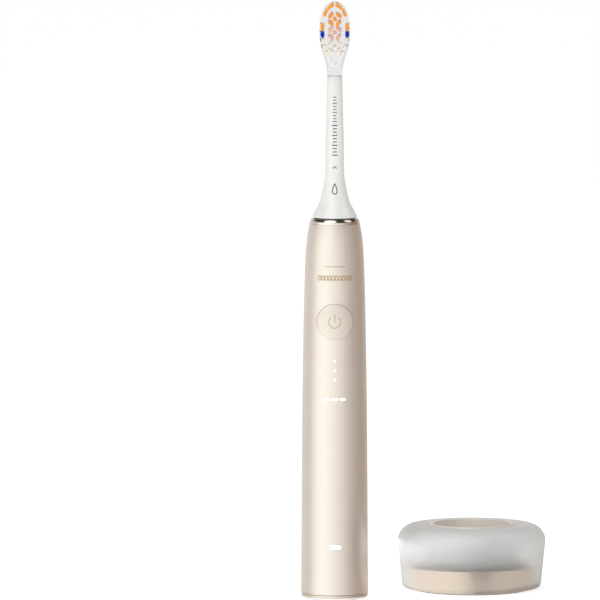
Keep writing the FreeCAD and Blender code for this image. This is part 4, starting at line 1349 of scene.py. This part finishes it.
@dataclass
class Sky(Tree):
    """The light that comes from all round, by direction.

    Attributes:
        gain: Brightness of a ramp value of one.
        turns: Colour at each turn from the front, in degrees, positive towards the right.
        rises: Share of that colour at each height above the horizon, in degrees.
        ceiling: The same shares as mirrored in polished surfaces.
        lamps: Turn, height, half width and brightness of the lamps seen in the dark ceiling.
        backdrop: Brightness of the air behind the object.
        glass: Brightness of the air seen through clear plastic.
        UNIT: The range that a ramp covers.
        EDGE: Half width of a lamp's soft edge, as a share of the lamp's.
    """

    gain: float = 1.7
    turns: tuple[tuple[float, Rgb], ...] = (
        (-180.0, (0.78, 0.74, 0.70)),
        (-135.0, (0.80, 0.78, 0.76)),
        (-106.0, (0.62, 0.60, 0.60)),
        (-90.0, (0.72, 0.71, 0.71)),
        (-74.0, (1.18, 1.22, 1.22)),
        (-55.0, (1.38, 1.47, 1.47)),
        (-30.0, (1.34, 1.46, 1.46)),
        (0.0, (1.10, 1.16, 1.15)),
        (25.0, (0.88, 0.90, 0.90)),
        (50.0, (0.54, 0.51, 0.50)),
        (80.0, (0.35, 0.29, 0.25)),
        (112.0, (0.29, 0.23, 0.18)),
        (138.0, (0.52, 0.46, 0.41)),
        (180.0, (0.78, 0.74, 0.70)),
    )
    rises: tuple[Pair, ...] = (
        (-90.0, 0.45), (-10.0, 0.75), (5.0, 0.75), (22.0, 0.55), (60.0, 0.52), (90.0, 0.6),
    )
    ceiling: tuple[Pair, ...] = (
        (-90.0, 0.7), (-10.0, 1.0), (8.0, 1.0), (22.0, 0.7), (32.0, 0.04), (90.0, 0.08),
    )
    lamps: tuple[tuple[float, float, float, float], ...] = (
        (-27.0, 45.0, 24.0, 1.5), (82.0, 43.0, 15.0, 1.1),
    )
    backdrop: float = 1.0
    glass: float = 0.92
    UNIT: ClassVar[Pair] = (0.0, 1.0)
    EDGE: ClassVar[float] = 0.25

    def __post_init__(self) -> None:
        """Makes the world that holds the light."""
        world = bpy.data.worlds.new("studio_air")
        world.use_nodes = True
        bpy.context.scene.world = world
        super().__init__(world.node_tree)
        self.tree.nodes.clear()

    def maths(self, operation: str, first: Socket, second: Socket | float) -> Socket:
        """Works out a sum.

        Args:
            operation: The maths node's operation.
            first: The first value.
            second: The second.

        Returns:
            The result.
        """
        made = self.node("ShaderNodeMath", operation=operation)
        self.feed(first, made.inputs[0])
        self.feed(second, made.inputs[1])
        return made.outputs[0]

    def lamp(self, direction: Socket, turn: float, rise: float, half_width: float) -> Socket:
        """Marks out a soft-edged round patch of the ceiling.

        Args:
            direction: Where the light comes from.
            turn: The patch's turn, in degrees.
            rise: Its height, in degrees.
            half_width: Its half width, in degrees.

        Returns:
            One inside it, nought outside.
        """
        facing = self.node("ShaderNodeVectorMath", operation="DOT_PRODUCT")
        self.feed(direction, facing.inputs[0])
        self.feed(heading(turn, rise), facing.inputs[1])
        rims = (half_width * (1.0 + self.EDGE), half_width * (1.0 - self.EDGE))
        span = tuple(math.cos(math.radians(rim)) for rim in rims)
        return self.spread(facing.outputs["Value"], self.UNIT, span, "SMOOTHSTEP")

    def build(self) -> None:
        """Wires the light up."""
        direction = self.node("ShaderNodeTexCoord").outputs["Generated"]
        parts = self.node("ShaderNodeSeparateXYZ")
        self.feed(direction, parts.inputs[0])
        front = self.maths("MULTIPLY", parts.outputs["Y"], -1.0)
        around = self.maths("ARCTAN2", parts.outputs["X"], front)
        turn = self.spread(around, self.UNIT, (-math.pi, math.pi))
        height = self.maths("ARCSINE", parts.outputs["Z"], 0.0)
        rise = self.spread(height, self.UNIT, (-math.pi / 2, math.pi / 2))
        path = self.node("ShaderNodeLightPath").outputs
        colour = self.ramp(turn, [(t / 360 + 0.5, tuple(p / self.gain for p in c)) for t, c in self.turns])
        shares = [
            self.ramp(rise, [(r / 180 + 0.5, grey(s)) for r, s in row]) for row in (self.rises, self.ceiling)
        ]
        share = self.blend(path["Is Glossy Ray"], *shares)
        light = self.blend(1.0, colour, share, "MULTIPLY")
        for *where, brightness in self.lamps:
            seen = self.maths("MULTIPLY", self.lamp(direction, *where), path["Is Glossy Ray"])
            light = self.blend(seen, light, grey(brightness / self.gain))
        direct = path["Is Transmission Ray"]
        for bounces in ("Glossy Depth", "Diffuse Depth"):
            direct = self.maths("MULTIPLY", self.maths("LESS_THAN", path[bounces], 0.5), direct)
        light = self.blend(direct, light, grey(self.glass / self.gain))
        light = self.blend(path["Is Camera Ray"], light, grey(self.backdrop / self.gain))
        background = self.node("ShaderNodeBackground")
        self.feed(self.gain, background.inputs["Strength"])
        self.feed(light, background.inputs["Color"])
        output = self.node("ShaderNodeOutputWorld")
        self.feed(background.outputs["Background"], output.inputs["Surface"])


@dataclass(frozen=True)
class Card:
    """A small upright card near the object, seen in reflections only and from its front only.

    Attributes:
        name: The card's name.
        start: One end on the floor plan; the front is to the right of the line from it to the other.
        end: The other end.
        height: Its height above the floor.
        tone: How pale its paper is.
        light: How bright it is of itself.
        LOW: Height of its lower edge.
        WEAVE: Features of the paper per metre.
        VARY: How far the paper's tone strays, as a share.
    """

    name: str
    start: Pair
    end: Pair
    height: float
    tone: float
    light: float
    LOW: ClassVar[float] = 1.0 * MM
    WEAVE: ClassVar[float] = 2400.0
    VARY: ClassVar[float] = 0.1

    def build(self) -> None:
        """Stands the card up."""
        (ax, ay), (bx, by) = self.start, self.end
        low, high = self.LOW, self.height
        corners = [(ax, ay, low), (bx, by, low), (bx, by, high), (ax, ay, high)]
        card = Skin(corners, [(0, 1, 2, 3)]).piece(self.name)
        graph = Graph(f"{self.name}_paper")
        tone = grey(self.tone)
        tint = graph.tint(graph.noise(self.WEAVE), shade(tone, -self.VARY), shade(tone, self.VARY))
        back = graph.node("ShaderNodeNewGeometry").outputs["Backfacing"]
        graph.wire(Base_Color=tint, Alpha=graph.spread(back, (1.0, 0.0), (0.0, 1.0)))
        graph.constant(Roughness=0.95, Specular_IOR_Level=0.0)
        graph.constant(Emission_Color=(*WHITE, 1.0), Emission_Strength=self.light)
        card.data.materials.append(graph.material)
        card.visible_camera = False
        card.visible_shadow = False


@dataclass
class Studio:
    """Plain pale floor, soft light that is strongest at the front left, and the camera.

    Attributes:
        floor_reach: Half side of the floor.
        flag: Small black card in front of the charger, for the dark band in its cup.
        bounce: Small lit card at its left, for the bright band.
        camera_away: Distance of the camera.
        camera_rise: Its height above the horizon, in degrees.
        view_width: Width that the picture shows at the handle.
        aim: What the camera's middle looks at.
        lamps: The soft lamps.
        LAMPS_FACE: What the lamps face.
        PAPER: Darkest and palest tone of the floor.
        GRAIN: Features of the floor per metre.
        FLOOR_LIGHT: Light of the floor's own.
        SENSOR: Width of the camera's sensor, in millimetres.
        CLIP: Nearest and farthest that the camera sees.
    """

    floor_reach: float = 9.0
    flag: Card = Card("studio_flag", (0.091, -0.03), (0.054, -0.03), 0.026, 0.02, 0.0)
    bounce: Card = Card("studio_bounce", (0.0265, -0.03), (0.0265, 0.032), 0.022, 0.9, 0.75)
    camera_away: float = 4.0
    camera_rise: float = 5.0
    view_width: float = 251.0 * MM
    aim: Vector = field(default_factory=lambda: Vector((-14.5 * MM, 0.0, 125.12 * MM)))
    lamps: tuple[Softbox, ...] = (
        Softbox("front_softbox", -8.0, 42.0, 1.3, 0.6, 2.0),
        Softbox("overhead_softbox", -10.0, 78.0, 1.4, 0.9, 7.0),
    )
    LAMPS_FACE: ClassVar[Vector] = Vector((20.0 * MM, 0.0, 110.0 * MM))
    PAPER: ClassVar[Pair] = (0.86, 0.88)
    GRAIN: ClassVar[float] = 900.0
    FLOOR_LIGHT: ClassVar[float] = 0.62
    SENSOR: ClassVar[float] = 36.0
    CLIP: ClassVar[Pair] = (0.1, 30.0)

    def build(self) -> None:
        """Sets up the whole studio."""
        self.floor()
        self.flag.build()
        self.bounce.build()
        Sky().build()
        self.camera()
        for lamp in self.lamps:
            lamp.build(self.LAMPS_FACE)
        bpy.context.scene.view_settings.view_transform = "Standard"
        bpy.context.scene.view_settings.look = "None"

    def floor(self) -> None:
        """Lays the floor, with a slight light of its own so that it stays pale far away."""
        reach = self.floor_reach
        corners = [(-reach, -reach, 0.0), (reach, -reach, 0.0), (reach, reach, 0.0), (-reach, reach, 0.0)]
        floor = Skin(corners, [(0, 1, 2, 3)]).piece("studio_floor")
        graph = Graph("studio_paper")
        graph.wire(Base_Color=graph.tint(graph.noise(self.GRAIN), *map(grey, self.PAPER)))
        graph.constant(Roughness=0.9, Specular_IOR_Level=0.1)
        graph.constant(Emission_Color=(*WHITE, 1.0), Emission_Strength=self.FLOOR_LIGHT)
        floor.data.materials.append(graph.material)
        floor.visible_glossy = False

    def camera(self) -> None:
        """Places the camera in front, a little above."""
        lens = bpy.data.cameras.new("camera")
        lens.sensor_width = self.SENSOR
        lens.lens = lens.sensor_width * self.camera_away / self.view_width
        lens.clip_start, lens.clip_end = self.CLIP
        camera = bpy.data.objects.new("camera", lens)
        back = heading(0.0, self.camera_rise)
        camera.location = self.aim + back * self.camera_away
        camera.rotation_mode = "QUATERNION"
        camera.rotation_quaternion = back.to_track_quat("Z", "Y")
        bpy.context.scene.collection.objects.link(camera)
        bpy.context.scene.camera = camera


def main() -> None:
    """Builds the studio and every sub-assembly, in order."""
    logging.basicConfig(level=logging.INFO, format="%(name)s: %(message)s")
    palette = Palette()
    Studio().build()
    CarriedPieces().build(palette)
    neck = Neck()
    neck.build(palette)
    NeckPrint().build(palette, neck)
    PlateRib().build(palette)
    HandlePrint().build(palette)
    Bristles().build(palette)


if __name__ == "__main__":
    main()
